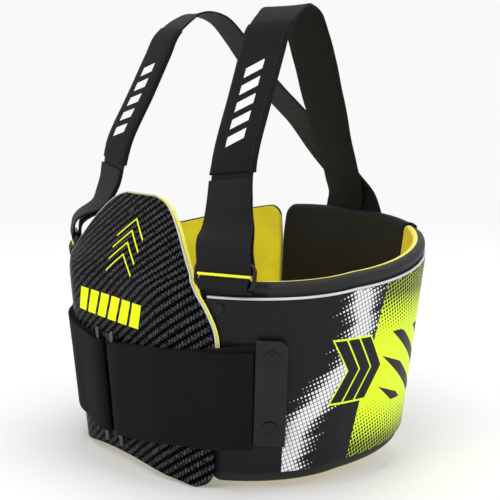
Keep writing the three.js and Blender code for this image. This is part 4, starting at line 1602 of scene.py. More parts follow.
@dataclass
class ChestGuard:
    """The carbon plate, the padded sheet behind it and the piping round it.

    Attributes:
        plate_thickness: of the plate.
        pad_gap: between the plate and the pad.
        margin: how far the pad shows past the plate at most.
        piping_radius: of the piping.
        piping_away: how far the piping lies outside the plate's edge.
        rivet_height: height of the small rivet.
    """

    plate_thickness: float = 2.2
    pad_gap: float = 0.7
    margin: float = 2.3
    piping_radius: float = 0.65
    piping_away: float = 0.75
    rivet_height: float = 134.0

    def _margin(self, up: float) -> float:
        """How far the pad shows past the plate; it is hidden below the belts and at the top.

        Args:
            up: share of the height.

        Returns:
            The margin, below 0 where the pad ends behind the plate.
        """
        shown = mix(0.45, 1.0, smooth(up, 0.62, 0.84)) * self.margin
        top = mix(1.0, 0.25, smooth(up, 0.9, 0.97))
        return mix(-6.0, shown, smooth(up, 0.34, 0.46)) * top

    @staticmethod
    def _rows() -> list[float]:
        """Shares of the height, closer together at both ends.

        Returns:
            The rising shares.
        """
        fine = [0.0, 0.004, 0.013, 0.026, 0.044, 0.07]
        middle = [mix(0.1, 0.95, k / 56) for k in range(57)]
        return fine + middle + [0.96, 0.97, 0.978, 0.985, 0.991, 0.996, 1.0]

    @staticmethod
    def _spread(u: float) -> float:
        """Share of the half width, closer together at both sides."""
        return math.sin((u - 0.5) * math.pi * 0.8) / math.sin(math.pi * 0.4)

    def build(self) -> None:
        """Makes the plate, the pad, the piping and the small rivet."""
        self._plate()
        self._pad()
        self._piping()
        high = CHEST.point(0, self.rivet_height + 5, 0)
        low = CHEST.point(0, self.rivet_height - 5, 0)
        up = (high - low).normalized()
        across = Vector((1.0, 0.0, 0.0))
        out = across.cross(up)
        origin = CHEST.point(0, self.rivet_height, 0) + out * GAP
        Rivet("chest_plate_rivet", 2.6, 1.2).build(frame_matrix(origin, across, up, out))

    def _plate(self) -> None:
        """Makes the carbon plate."""
        rows = self._rows()

        def placer(u: float, v: float) -> Place:
            """A place on the outer face.

            Args:
                u: share across.
                v: share of the height.

            Returns:
                The point and its two metric coordinates.
            """
            up = rows[round(v * (len(rows) - 1))]
            across = self._spread(u) * CHEST.reach(up)
            height = CHEST.height(up, across)
            return CHEST.point(across, height, 0.0), across, height

        plate = laid_grid("chest_plate", 64, len(rows) - 1, placer)
        if plate.data.polygons[len(plate.data.polygons) // 2].normal.y > 0:
            flip_faces(plate)
        thickened(plate, self.plate_thickness, -1.0, 0.5)
        finish_piece(plate, Finishes.CARBON, "chest_plate")

    def _pad(self) -> None:
        behind = self.plate_thickness + self.pad_gap
        rows = self._rows()
        columns = 60
        tall = CHEST.top - CHEST.bottom
        dark_below = 0.1

        def thickness(across: float, height: float, away: float) -> float:
            """Thickness at a place and its distance from the edge, thin between plate and shell.

            Args:
                across: distance from the middle plane.
                height: above the origin.
                away: distance from the pad's edge.

            Returns:
                The thickness.
            """
            shell_end = FORM.point(math.radians(SHELL_FRONT), SHELL_WALL, height).x
            between = 1 - smooth(abs(across), shell_end - 18, shell_end - 7)
            above = smooth(height, 93.2, 103.2)
            full = mix(2.6, 6.5, smooth(away, 0, 12)) + 1.2 * smooth(away, 0, 30)
            return mix(2.0, full, max(between, above))

        def placer(u: float, v: float) -> Place:
            """A place on the front face, then on the back one.

            Args:
                u: share across.
                v: share up the front and down the back.

            Returns:
                The point and its two metric coordinates.
            """
            front = v < 0.5
            share = v * 2 if front else 2 - v * 2
            up = rows[round(share * (len(rows) - 1))]
            spread = self._spread(u)
            reach = CHEST.reach(up) + self._margin(up)
            end = (up > 0.95) * (up - 0.95) / 0.05 - (up < 0.05) * (0.05 - up) / 0.05
            across = spread * reach
            height = CHEST.height(up, across) + end * self._margin(up)
            side_room = reach * (1 - abs(spread))
            ends_room = tall * min(up, 1 - up)
            away = min(side_room, ends_room)
            thick = thickness(across, height, away)
            round_off = math.sqrt(1 - (1 - clamp(away / (thick / 2), 0, 1)) ** 2)
            half = thick / 2 * round_off
            depth = behind + thick / 2 + (-half if front else half)
            return CHEST.point(across, height, depth), across, height

        obj = laid_grid("chest_pad", columns, 2 * (len(rows) - 1), placer)
        # The pad's yellow is the edge finish: the real yellow layer with a painted highlight. Its
        # lowest rows are dark leather.
        for finish in (Finishes.EDGE, Finishes.BORDER):
            obj.data.materials.append(finish.material())
        for index, face in enumerate(obj.data.polygons):
            row = index // columns
            row = min(row, 2 * (len(rows) - 1) - 1 - row)
            face.material_index = 1 if rows[row] < dark_below else 0
        mend(obj)
        finish_piece(obj, Finishes.EDGE, "chest_pad", 70.0)

    def _piping(self) -> None:
        """Makes the piping from one side over the top to the other."""
        path = []
        steps = 149
        for k in range(steps + 1):
            up = mix(0.3, 1.0, 1 - (1 - k / steps) ** 1.6)
            beyond = self.piping_away * (1 - smooth(up, 0.985, 1.0))
            lift = self.piping_away * smooth(up, 0.95, 1.0)
            across = CHEST.reach(up) + beyond
            path.append(CHEST.point(across, CHEST.height(up, across) + lift, 0.9))
        path += [Vector((-p.x, p.y, p.z)) for p in reversed(path)]
        points, radii = round_ended(path, self.piping_radius)
        obj = tube("plate_piping", points, radii, 10)
        finish_piece(obj, Finishes.PIPING, "plate_piping", 80.0)


@dataclass
class Belt:
    """One wide elastic belt with its bracket, folded round its pin.

    Attributes:
        side: the wearer's side.
        width: of the elastic.
        thickness: of the elastic.
        front_height: height of its middle at the front.
        bracket_height: height of its middle at the bracket.
        bracket_angle: angle of the bracket, in degrees.
        bracket_size: the bracket's width, height and thickness.
        bracket_corner: radius of its rear upper corner.
        rivet_level: distance of each rivet from the bracket's middle.
        pin_radius: of the pin that it folds round.
        pin_spacing: distance between both pins.
    """

    side: Side
    width: float = 80.0
    thickness: float = 2.0
    front_height: float = -12.4
    bracket_height: float = -0.7
    bracket_angle: float = 59.43
    bracket_size: tuple[float, float, float] = (25.0, 87.0, 2.5)
    bracket_corner: float = 7.0
    rivet_level: float = 29.0
    pin_radius: float = 1.8
    pin_spacing: float = 24.0

    def height(self, angle: float) -> float:
        """Height of the belt's middle."""
        share = math.sin(angle) / math.sin(math.radians(self.bracket_angle))
        return mix(self.front_height, self.bracket_height, clamp(share, 0.0, 1.0))

    def surface(self, angle: float, offset: float, height: float) -> Vector:
        """A point above the plate or, beyond its edge, above the shell.

        Args:
            angle: radians from the front centre.
            offset: distance from what it lies on.
            height: height above the origin.

        Returns:
            The point.
        """
        on_shell = FORM.point(angle, -offset, height)
        on_plate = FORM.point(angle, -(CHEST.stand_off + offset), height)
        if on_plate.x < CHEST.half_width:
            depth = FORM.depth_at(on_plate.x, height, CHEST.stand_off + offset)
            on_plate.y = CHEST.flattening(on_plate.x, height) - depth
        edge = math.asin(CHEST.half_width / FORM.half_width)
        off = smooth(angle, edge + math.radians(1.5), edge + math.radians(9))
        return on_plate.lerp(on_shell, off)

    @property
    def inner_layer(self) -> float:
        """Distance of the inner layer's middle from what it lies on."""
        return GAP + self.thickness / 2

    @property
    def fold_step(self) -> float:
        """Distance between the two layers at the pin."""
        return 2 * (self.pin_radius + GAP) + self.thickness

    def pin_centre(self, height: float) -> Vector:
        """Centre of the pin at a height."""
        face = CHEST.point(self.pin_spacing / 2, height, 0.0).y
        return Vector((self.pin_spacing / 2, face - self.inner_layer - self.fold_step / 2, height))

    def _path(self, level: float) -> list[Vector]:
        """The belt's run from under the bracket, round the pin and back.

        Args:
            level: distance from the belt's middle.

        Returns:
            The points.
        """
        fold = math.asin(self.pin_spacing / 2 / FORM.half_width) + math.radians(0.6)
        bracket = arc_at(self.bracket_angle)
        inner_end = angle_at(bracket + 10.5)
        outer_end = angle_at(bracket - 14.0)
        steps, folds = 60, 16
        points = []
        for k in range(steps):
            angle = mix(inner_end, fold, k / steps)
            rise = 3.0 * smooth(angle, math.radians(34), math.radians(54))
            points.append(self.surface(angle, self.inner_layer, self.height(angle) + level + rise))
        height = self.height(0.0) + level
        centre = self.pin_centre(height)
        for k in range(folds + 1):
            turn = math.pi * k / folds
            along = math.sin(turn) * (self.fold_step / 2 + 3.0)
            out = -math.cos(turn) * self.fold_step / 2
            points.append(Vector((centre.x - along, centre.y - out, height)))
        for k in range(1, steps + 1):
            angle = mix(fold, outer_end, k / steps)
            spread = mix(self.fold_step, self.thickness + 0.5, smooth(k, 0, 18))
            drop = 3.5 * smooth(angle, math.radians(30), math.radians(54))
            ripple = 0.25 * math.sin(angle * 21 + level * 0.05)
            offset = self.inner_layer + spread + max(ripple, 0.0)
            points.append(self.surface(angle, offset, self.height(angle) + level - drop))
        return points

    def build(self) -> None:
        """Makes the belt, its bracket and the rivets."""
        rows = 14
        paths = [self._path(self.width * (j / rows - 0.5)) for j in range(rows + 1)]
        count = len(paths[0])
        lengths = distances(paths[rows // 2])

        def placer(u: float, v: float) -> Place:
            """A place along and across the elastic."""
            k, j = round(u * (count - 1)), round(v * rows)
            return mirrored(paths[j][k], self.side), lengths[k], self.width * (v - 0.5)

        obj = laid_grid(f"{self.side.word}_belt", count - 1, rows, placer)
        thickened(obj, self.thickness, 0.0, 0.5)
        finish_piece(obj, Finishes.ELASTIC, f"{self.side.word}_belt")
        self.width * MM
        self._bracket()

    def _bracket(self) -> None:
        """Makes the bracket over the belt's end, with its two rivets."""
        angle = math.radians(self.bracket_angle)
        offset = 2 * GAP + self.thickness + 0.4
        matrix = FORM.frame_at(angle, offset, self.bracket_height + 3, self.side)
        thick = self.bracket_size[2]
        plate = laid_box(self.bracket_size, (0, 0, thick / 2))
        weights = plate.data.attributes.new("bevel_weight_edge", "FLOAT", "EDGE")
        for edge in plate.data.edges:
            a, b = (plate.data.vertices[k].co for k in edge.vertices)
            upright = abs(a.z - b.z) > 0.001
            rear = a.x * self.side.value > 0 and a.y > 0
            weights.data[edge.index].value = 1.0 if upright and rear else (0.12 if upright else 0.0)
        corner = plate.modifiers.new("Corner", "BEVEL")
        corner.limit_method = "WEIGHT"
        corner.width = self.bracket_corner * MM
        corner.segments = 8
        apply_modifiers(plate)
        rounded(plate, 0.7)
        seat_on(plate, matrix)
        finish_piece(plate, Finishes.METAL, f"{self.side.word}_belt_bracket")
        for word, level in (("upper", self.rivet_level), ("lower", -self.rivet_level)):
            seat = matrix @ Matrix.Translation((0, level, thick + GAP))
            Rivet(f"{self.side.word}_bracket_rivet_{word}", 6.4, 2.6).build(seat)


def rounded_rod(name: str, low: Vector, high: Vector, radius: float, finish: Finish) -> None:
    """A straight rod with rounded ends, for one CAD node.

    Args:
        name: the node's name.
        low: its lower end.
        high: its upper end.
        radius: its radius.
        finish: its finish.
    """
    path = [low.lerp(high, k / 12) for k in range(13)]
    points, radii = round_ended(path, radius)
    inset = (high - low).normalized() * radius
    points = [p + inset * (1 if k < len(points) / 2 else -1) for k, p in enumerate(points)]
    obj = tube(name, points, radii, 20, normal=Vector((0.0, 1.0, 0.0)))
    finish_piece(obj, finish, name, 60.0)


@dataclass
class CentreBuckle:
    """The narrow bar between the belts' folds, with its lugs, pins and rivets.

    Attributes:
        belt: the belt whose sizes it follows.
        bar_width: width of the bar.
        lug: height of each lug.
        lug_beyond: how far a lug reaches past each pin's middle.
        thickness: of the bar and its lugs.
        rivet_level: distance of each rivet from its middle.
        pin_beyond: how far each pin reaches past the belt.
    """

    belt: Belt = field(default_factory=lambda: Belt(Side.LEFT))
    bar_width: float = 7.0
    lug: float = 4.5
    lug_beyond: float = 4.2
    thickness: float = 1.6
    rivet_level: float = 25.0
    pin_beyond: float = 10.0

    def _frame(self) -> tuple[Matrix, float]:
        """Where the buckle lies on the plate.

        Returns:
            Its frame and half its height.
        """
        belt = self.belt
        reach = belt.width / 2 + GAP + self.lug / 2
        lug_angle = math.asin((belt.pin_spacing / 2 + 3 * belt.pin_radius) / FORM.half_width)
        high, low = belt.height(lug_angle) + reach, belt.front_height - reach
        top, bottom = CHEST.point(0, high, 0), CHEST.point(0, low, 0)
        up = (top - bottom).normalized()
        across = Vector((1.0, 0.0, 0.0))
        out = across.cross(up)
        origin = Vector((0, (top.y + bottom.y) / 2, (high + low) / 2)) + out * (GAP + 0.5)
        return frame_matrix(origin, across, up, out), (high - low + self.lug) / 2

    def build(self) -> None:
        """Makes the buckle, its two rivets and both pins."""
        matrix, half = self._frame()
        lug_width = self.belt.pin_spacing + 2 * self.lug_beyond
        end = half - self.lug / 2
        body = laid_box((self.bar_width, 2 * half, self.thickness), (0, 0, self.thickness / 2))
        lug_size = (lug_width, self.lug, self.thickness)
        lugs = [laid_box(lug_size, (0, y, self.thickness / 2)) for y in (end, -end)]
        for lug in lugs:
            join = body.modifiers.new("Join", "BOOLEAN")
            join.operation = "UNION"
            join.object = lug
        apply_modifiers(body)
        for lug in lugs:
            bpy.data.objects.remove(lug)
        rounded(body, 0.4)
        seat_on(body, matrix)
        finish_piece(body, Finishes.METAL, "centre_buckle")
        for word, level in (("upper", self.rivet_level), ("lower", -self.rivet_level)):
            seat = matrix @ Matrix.Translation((0, level, self.thickness + GAP))
            Rivet(f"buckle_rivet_{word}", 2.6, 1.2).build(seat)
        for side in Side:
            self._pin(side)

    def _pin(self, side: Side) -> None:
        """Makes the pin inside one belt's fold.

        Args:
            side: the wearer's side.
        """
        middle, reach = self.belt.front_height, self.belt.width / 2
        low = mirrored(self.belt.pin_centre(middle - reach), side)
        high = mirrored(self.belt.pin_centre(middle + reach), side)
        along = (high - low).normalized() * self.pin_beyond
        name = f"{side.word}_belt_pin"
        rounded_rod(name, low - along, high + along, self.belt.pin_radius, Finishes.STEEL)


# Route of each strap up the front: width, depth and height as shares, and where it faces
FRONT_ROWS = {
    Side.LEFT: (
        (0.670, -0.657, 0.165, 22),
        (0.603, -0.581, 0.235, 14),
        (0.568, -0.532, 0.325, 9),
        (0.549, -0.498, 0.412, 7),
    ),
    Side.RIGHT: (
        (0.670, -0.674, 0.165, 22),
        (0.601, -0.578, 0.235, 14),
        (0.567, -0.51, 0.325, 9),
        (0.549, -0.485, 0.412, 7),
    ),
}
# The same for both straps, over the shoulder and down the back
ROUTE_ROWS = (
    (0.533, -0.45, 0.5, 6),
    (0.494, -0.31, 0.677, 6),
    (0.462, -0.19, 0.832, 7),
    (0.446, -0.128, 0.91, 8),
    (0.42, -0.01, 0.975, 9),
    (0.385, 0.085, 1.0, 10),
    (0.35, 0.205, 0.978, 10),
    (0.31, 0.315, 0.898, 10),
    (0.27, 0.402, 0.81, 10),
    (0.195, 0.543, 0.677, 9),
    (0.12, 0.682, 0.545, 5),
    (0.048, 0.826, 0.412, 1),
    (0.0, 0.925, 0.323, 0),
    (-0.045, 0.995, 0.245, 0),
)
# Their end on the back panel: width and height as shares, and where it faces
END_ROWS = ((-0.075, 0.9, 0), (-0.105, 0.5, 0), (-0.165, 0.0, 0))


@dataclass
class StrapPlace:
    """A place along a strap.

    Attributes:
        centre: the middle of its width.
        across: the direction of its width.
        out: the direction that it faces.
    """

    centre: Vector
    across: Vector
    out: Vector


@dataclass
class Lock:
    """A ladder lock: a rounded frame with a yellow bar, and the webbing loop that holds it.

    Attributes:
        side: the wearer's side.
        facing: where it faces, in degrees from the front.
        tilt: how far it leans back, in degrees.
        width: of the frame.
        height: of the frame.
        corner: radius of its corners.
        rod: radius of the frame's rod.
        slide: the yellow bar's three sizes.
        loop: half the width of the webbing loop, and its thickness.
    """

    side: Side
    facing: float = 26.0
    tilt: float = 8.0
    width: float = 53.0
    height: float = 19.5
    corner: float = 5.6
    rod: float = 1.75
    slide: tuple[float, float, float] = (46.6, 2.1, 2.6)
    loop: tuple[float, float] = (21.5, 1.6)

    def __post_init__(self) -> None:
        """Works out the lock's frame."""
        angle = math.radians(LOCK_ANGLE)
        origin = FORM.point(angle, -2.0, FORM.top_at(angle) + 19.5)
        facing = math.radians(self.facing)
        across = Vector((math.cos(facing), math.sin(facing), 0.0))
        up = Vector((0.0, 0.0, 1.0))
        up.rotate(Matrix.Rotation(-math.radians(self.tilt), 3, across))
        out = across.cross(up).normalized()
        self.origin = mirrored(origin, self.side)
        self.across = mirrored(across, self.side) * self.side.value
        self.up = mirrored(up, self.side)
        self.out = mirrored(out, self.side)

    @property
    def bar_level(self) -> float:
        """Distance of the upper and lower bars from the middle one."""
        return (self.height - LOCK_BAR) / 2

    def at(self, across: float, up: float, out: float) -> Vector:
        """A point in the lock's own frame."""
        return self.origin + self.across * across + self.up * up + self.out * out

    def build(self) -> None:
        """Makes the frame, the yellow bar and the anchor webbing."""
        corner = self.corner
        x = self.width / 2 - corner - 1.0
        y = self.height / 2 - corner - 0.6
        faces = 8
        path = []
        for cx, cy, turn in ((x, y, 0.0), (-x, y, 0.5), (-x, -y, 1.0), (x, -y, 1.5)):
            for k in range(faces + 1):
                swing = (turn + k / faces / 2) * math.pi
                path.append((cx + math.cos(swing) * corner, cy + math.sin(swing) * corner))
            if turn in (0.0, 1.0):
                way = 1 if turn == 0.0 else -1
                for k in range(1, faces):
                    path.append((cx - way * 2 * x * k / faces, cy + way * corner))
        points = [self.at(px, py, 0.0) for px, py in path]
        name = f"{self.side.word}_ladder_lock"
        ring = tube(name, points, self.rod, 16, closed=True, normal=self.out)
        finish_piece(ring, Finishes.LOCK, name, 80.0)
        self._slide()
        self._anchor()

    def _slide(self) -> None:
        """Makes the yellow bar in front of the middle one."""
        bar = laid_box(self.slide, (0, 0, 0))
        rounded(bar, 0.6)
        seat_on(bar, frame_matrix(self.at(0.0, 0.2, 1.4), self.across, self.up, self.out))
        finish_piece(bar, Finishes.BAR, f"{self.side.word}_lock_bar")

    def _anchor_rows(self, columns: int) -> list[list[Vector]]:
        """Rows of the loop, from inside the shell up and round the lock's lower bar.

        Args:
            columns: faces across the webbing.

        Returns:
            The rows of points.
        """
        reach, thick = self.loop
        inside = INSIDE_SHELL + thick / 2
        climb = [(inside, -17.0), (inside, -12.0), (inside, -7.0), (inside, -2.0), (inside, 1.2)]
        climb += [(inside * 0.8, 3.2), (inside * 0.45, 5.0)]
        places = [reach * (2 * k / columns - 1) for k in range(columns + 1)]
        angles = [angle_at(arc_at(LOCK_ANGLE) + place) for place in places]
        rows = []
        for depth, up in climb:
            row = [FORM.point(angle, depth, FORM.top_at(angle) + up) for angle in angles]
            rows.append([mirrored(point, self.side) for point in row])
        radius = 2.2 + GAP + thick / 2
        steps = 18
        for k in range(steps + 1):
            swing = mix(-0.5, 1.25, k / steps) * math.pi
            tall = 6.2 if swing > 0 else radius
            up, out = math.sin(swing) * tall - self.bar_level, math.cos(swing) * radius
            rows.append([self.at(place * self.side.value, up, out) for place in places])
        return rows

    def _anchor(self) -> None:
        reach, thick = self.loop
        columns = 12
        rows = self._anchor_rows(columns)
        lengths = distances([row[columns // 2] for row in rows])

        def placer(u: float, v: float) -> Place:
            """A place across and along the webbing."""
            k, j = round(u * columns), round(v * (len(rows) - 1))
            return rows[j][k], reach * (2 * u - 1), lengths[j]

        obj = laid_grid(f"{self.side.word}_strap_anchor", columns, len(rows) - 1, placer)
        thickened(obj, thick, 0.0, 0.45)
        finish_piece(obj, Finishes.WEBBING, f"{self.side.word}_strap_anchor")


def curve_through(points: Sequence[Vector], fine: int) -> list[Vector]:
    """A centripetal curve through points.

    Args:
        points: the points.
        fine: samples between two points.

    Returns:
        The samples.
    """
    first = points[0] * 2 - points[1]
    last = points[-1] * 2 - points[-2]
    padded = [first, *points, last]
    samples = []
    for k in range(1, len(padded) - 2):
        p0, p1, p2, p3 = padded[k - 1 : k + 3]
        d0 = max((p1 - p0).length ** 0.5, 1e-4)
        d1 = max((p2 - p1).length ** 0.5, 1e-4)
        d2 = max((p3 - p2).length ** 0.5, 1e-4)
        t1 = ((p1 - p0) / d0 - (p2 - p0) / (d0 + d1) + (p2 - p1) / d1) * d1
        t2 = ((p2 - p1) / d1 - (p3 - p1) / (d1 + d2) + (p3 - p2) / d2) * d1
        for j in range(fine):
            t = j / fine
            samples.append(
                p1 * (2 * t**3 - 3 * t**2 + 1)
                + t1 * (t**3 - 2 * t**2 + t)
                + p2 * (3 * t**2 - 2 * t**3)
                + t2 * (t**3 - t**2)
            )
    return [*samples, points[-1]]


@dataclass
class ShoulderStrap:
    """One shoulder strap with its padded sleeve.

    Attributes:
        side: the wearer's side.
        lock: the lock that it passes through.
        width: of the webbing.
        thickness: of the webbing.
        top: height of its highest point.
        lift: how far the right strap lies above the left one.
        tail: shares of the height where the doubled tail starts and ends.
        covered: shares of the height where the sleeve starts and ends.
        sleeve: half the width, half the depth and the wall of the sleeve.
    """

    side: Side
    lock: Lock
    width: float = 47.0
    thickness: float = 1.8
    top: float = 303.0
    lift: float = 3.6
    tail: tuple[float, float] = (0.15, 0.393)
    covered: tuple[float, float] = (0.405, 0.93)
    sleeve: tuple[float, float, float] = (25.5, 3.0, 1.3)

    @property
    def layer(self) -> float:
        """Distance of the webbing's middle from the lock's bar."""
        return LOCK_BAR / math.sqrt(2) + GAP + self.thickness / 2

    def _share(self, point: Vector) -> float:
        """Share of the height, from the shells' front edge to the strap's top."""
        return (point.z - FORM.top[0]) / (self.top - FORM.top[0])

    def _route(self) -> list[tuple[Vector, float]]:
        """The route's places on the wearer's left, from the rows above.

        Returns:
            Each place and where the strap faces there, in degrees.
        """
        lift = self.lift if self.side is Side.RIGHT else 0.0
        rows: list[tuple[Vector, float]] = []
        for across, along, up, facing in (*FRONT_ROWS[self.side], *ROUTE_ROWS):
            behind = lift * math.sqrt(0.5) * smooth(along, 0.5, 0.7) if along > 0 else 0.0
            depth = along * (FORM.back_depth if along > 0 else FORM.front_depth) + behind
            height = mix(FORM.top[0], self.top, up) + behind
            point = Vector((across * FORM.half_width, depth, height))
            rows.append((point, facing))
        offset = 1.6 * GAP + self.thickness / 2 - 0.5
        for across, up, facing in END_ROWS:
            x = across * FORM.half_width
            height = mix(FORM.top[2] - 25, FORM.top[2] + RIM_ABOVE, up)
            out = offset + lift * smooth(up, -0.1, 0.1)
            rows.append((Vector((x, FORM.depth_at(x, height, out, True), height)), facing))
        return rows

    def run(self) -> list[StrapPlace]:
        """The main run of the strap, from the lock's upper bar to its end on the panel.

        Returns:
            The places along it.
        """
        start = self.lock.at(0.0, self.lock.bar_level, 0.0) - self.lock.out * self.layer
        rows = self._route()
        points = [start, *(mirrored(point, self.side) for point, _ in rows)]
        facings = [self.lock.facing, *(facing for _, facing in rows)]
        fine = 12
        samples = curve_through(points, fine)
        frames = []
        for k, centre in enumerate(samples):
            after = samples[min(k + 1, len(samples) - 1)]
            before = samples[max(k - 1, 0)]
            along = (after - before).normalized()
            low = min(k // fine, len(facings) - 2)
            facing = math.radians(mix(facings[low], facings[low + 1], k / fine - low))
            across = Vector((math.cos(facing), math.sin(facing) * self.side.value, 0.0))
            across = (across - along * across.dot(along)).normalized()
            leave = 1 - smooth((centre - start).length, 4, 47)
            across = across.lerp(self.lock.across, leave).normalized()
            out = across.cross(along).normalized()
            frames.append(StrapPlace(centre, across, out))
        return frames

    def _tail(self, run: list[StrapPlace]) -> list[StrapPlace]:
        """The doubled tail in front of the run, and its turn round the lock's upper bar.

        Args:
            run: the main run.

        Returns:
            The places from the tail's end to the run's start.
        """
        low, high = self.tail
        front = [f for f in run[1:60] if low < self._share(f.centre) < high]
        near, far = front[0].centre, front[-1].centre
        tail = []
        for place in front:
            share = (place.centre - near).length / (far - near).length
            step = mix(2 * self.layer - 0.6, self.thickness + 0.4, smooth(share, 0.0, 0.5))
            tail.append(StrapPlace(place.centre + place.out * step, place.across, place.out))
        turn = []
        steps = 12
        for k in range(steps + 1):
            swing = math.pi * k / steps
            up = self.lock.bar_level - math.sin(swing) * 6.0
            centre = self.lock.at(0.0, up, math.cos(swing) * self.layer)
            turn.append(StrapPlace(centre, self.lock.across, self.lock.out))
        return [*reversed(tail), *turn]

    def build(self) -> None:
        """Makes the webbing and its sleeve."""
        run = self.run()
        path = [*self._tail(run), *run[1:]]
        lengths = distances([place.centre for place in path])
        columns = 10

        def placer(u: float, v: float) -> Place:
            """A place across and along the webbing, with soft ripples.

            Args:
                u: share across.
                v: share along the strap.

            Returns:
                The point and its two metric coordinates.
            """
            k = round(v * (len(path) - 1))
            across = (u - 0.5) * self.width
            place = path[k]
            ripple = 0.35 * math.sin(lengths[k] * 0.11 + u * 2.2)
            quiet = smooth(k, 20, 60) * (1 - smooth(k, len(path) - 70, len(path) - 50))
            point = place.centre + place.across * across + place.out * ripple * quiet
            return point, across, lengths[k]

        obj = laid_grid(f"{self.side.word}_shoulder_strap", columns, len(path) - 1, placer)
        thickened(obj, self.thickness, 0.0, 0.45)
        finish_piece(obj, Finishes.WEBBING, f"{self.side.word}_shoulder_strap")
        self.width * MM
        self._sleeve(run)

    def _sleeve(self, run: list[StrapPlace]) -> None:
        """Args:
            run: the main run.
        """
        low, high = self.covered
        top = next(k for k, f in enumerate(run) if self._share(f.centre) > high)
        covered = [f for f in run[: top + 1] if self._share(f.centre) > low]
        lengths = distances([place.centre for place in covered])
        total = lengths[-1]
        half_width, half_depth, wall = self.sleeve
        around = 36

        def placer(u: float, v: float) -> Place:
            """A place round the flattened section at a share along the sleeve.

            Args:
                u: share round it.
                v: share along the sleeve.

            Returns:
                The point and its two metric coordinates.
            """
            k = round(v * (len(covered) - 1))
            place = covered[k]
            along = lengths[k]
            puff = 0.5 * smooth(along, 0, 12) * (1 - smooth(along, total - 12, total))
            hem = 0.35 * math.exp(-(((along - 9.0) / 1.3) ** 2))
            across = signed_power(math.cos(u * math.tau), 0.35) * half_width
            out = signed_power(math.sin(u * math.tau), 0.75) * (half_depth + puff - hem)
            flare = 1 + 0.8 * math.exp(-along / 3.0) / half_width
            point = place.centre + place.across * across * flare + place.out * out
            return point, across, along

        outer = laid_grid(f"{self.side.word}_strap_sleeve", around, len(covered) - 1, placer)
        mend(outer)
        solid = outer.modifiers.new("Wall", "SOLIDIFY")
        solid.thickness = wall * MM
        solid.offset = -1.0
        bevel = outer.modifiers.new("Hem", "BEVEL")
        bevel.width = 0.4 * MM
        bevel.segments = 2
        bevel.limit_method = "ANGLE"
        bevel.angle_limit = math.radians(60)
        apply_modifiers(outer)
        finish_piece(outer, Finishes.SLEEVE, f"{self.side.word}_strap_sleeve", 60.0)


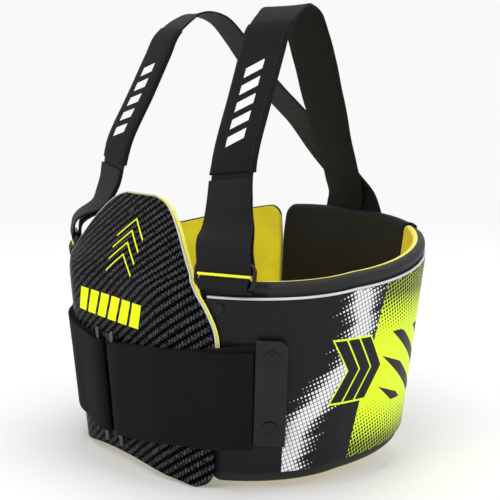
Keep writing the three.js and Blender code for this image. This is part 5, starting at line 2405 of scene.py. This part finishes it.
@dataclass(frozen=True)
class Studio:
    """Camera, floor and lights.

    Attributes:
        eye: the camera's place in metres, fitted to the photograph.
        azimuth: where it looks from, in degrees from the front.
        elevation: how far it looks down, in degrees.
        lens: focal length in millimetres.
        floor: height of the floor in millimetres.
        white: brightness of the background.
    """

    eye: tuple[float, float, float] = (0.85029, -0.59689, 0.24102)
    azimuth: float = 53.97
    elevation: float = 8.10
    lens: float = 84.84
    floor: float = -80.3
    white: float = 0.95

    def build(self) -> None:
        """Sets up the studio."""
        scene = bpy.context.scene
        bpy.ops.object.camera_add(location=self.eye)
        camera = bpy.context.active_object
        turn, tip = math.radians(self.azimuth), math.radians(self.elevation)
        level = math.cos(tip)
        forward = Vector((-math.sin(turn) * level, math.cos(turn) * level, -math.sin(tip)))
        camera.rotation_mode = "QUATERNION"
        camera.rotation_quaternion = forward.to_track_quat("-Z", "Y")
        camera.data.lens = self.lens
        camera.data.sensor_width = 36.0
        camera.data.clip_start, camera.data.clip_end = 0.05, 60.0
        scene.camera = camera
        self._floor()
        self._light("Key", (0.7, -1.2, 1.7), 1.2, 9.0)
        self._light("Side", (1.6, 0.6, 0.9), 0.9, 4.0)
        self._light("Front", (0.0, -1.8, 0.5), 0.8, 2.0)
        self._light("Top", (-0.3, 0.4, 2.0), 1.4, 8.0)
        world = bpy.data.worlds.new("Studio")
        scene.world = world
        world.use_nodes = True
        background = world.node_tree.nodes["Background"]
        background.inputs[0].default_value = (1.0, 1.0, 1.0, 1.0)
        background.inputs[1].default_value = self.white
        scene.view_settings.view_transform = "Standard"

    def _floor(self) -> None:
        """A pale floor that fades into the white background on every side."""
        bpy.ops.object.select_all(action="DESELECT")
        bpy.ops.mesh.primitive_circle_add(
            vertices=96, radius=14.0, fill_type="NGON", location=(0, 0, self.floor * MM)
        )
        floor = bpy.context.active_object
        floor.name = "floor"
        bpy.ops.object.transform_apply(location=True, rotation=True, scale=True)
        shader = Shader(bpy.data.materials.new("Pale floor"))
        split = shader.node("ShaderNodeSeparateXYZ", Vector=shader.place())
        x, y = Term(shader.tree, split.outputs[0]), Term(shader.tree, split.outputs[1])
        fade = (x * x + y * y).step(0.25, 6.0)
        pale = shader.mixed(shader.noise(3.0), (0.86, 0.86, 0.86), (0.9, 0.9, 0.9))
        shader.set(
            Base_Color=shader.mixed(fade, pale, (0.0, 0.0, 0.0)),
            Emission_Color=(1.0, 1.0, 1.0),
            Emission_Strength=fade * self.white,
            Roughness=0.75,
            Specular_IOR_Level=0.0,
        )
        floor.data.materials.append(shader.material)

    @staticmethod
    def _light(name: str, place: tuple[float, float, float], size: float, power: float) -> None:
        """Adds a square area light that points at the object.

        Args:
            name: the light's name.
            place: its place in metres.
            size: its side in metres.
            power: in watts.
        """
        bpy.ops.object.light_add(type="AREA", location=place)
        light = bpy.context.active_object
        light.name = name
        light.data.size = size
        light.data.energy = power
        aim = Vector((0.0, 0.0, 0.05)) - Vector(place)
        light.rotation_mode = "QUATERNION"
        light.rotation_quaternion = aim.to_track_quat("-Z", "Y")


@dataclass
class RibProtector:
    """The whole object.

    Attributes:
        liner_rears: angle of each liner's rear end, in degrees.
    """

    liner_rears: tuple[tuple[Side, float], ...] = ((Side.LEFT, 152.0), (Side.RIGHT, 156.0))

    def build(self) -> None:
        """Makes every piece."""
        for side, rear in self.liner_rears:
            LOG.info("%s side", side.word)
            Shell(side).build()
            Liner(side, rear).build()
            Belt(side).build()
            lock = Lock(side)
            lock.build()
            ShoulderStrap(side, lock).build()
        BackPanel().build()
        ChestGuard().build()
        CentreBuckle().build()


def main() -> None:
    """Builds the scene."""
    logging.basicConfig(level=logging.INFO, format="%(message)s")
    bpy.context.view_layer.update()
    Studio().build()
    RibProtector().build()


if __name__ == "__main__":
    main()
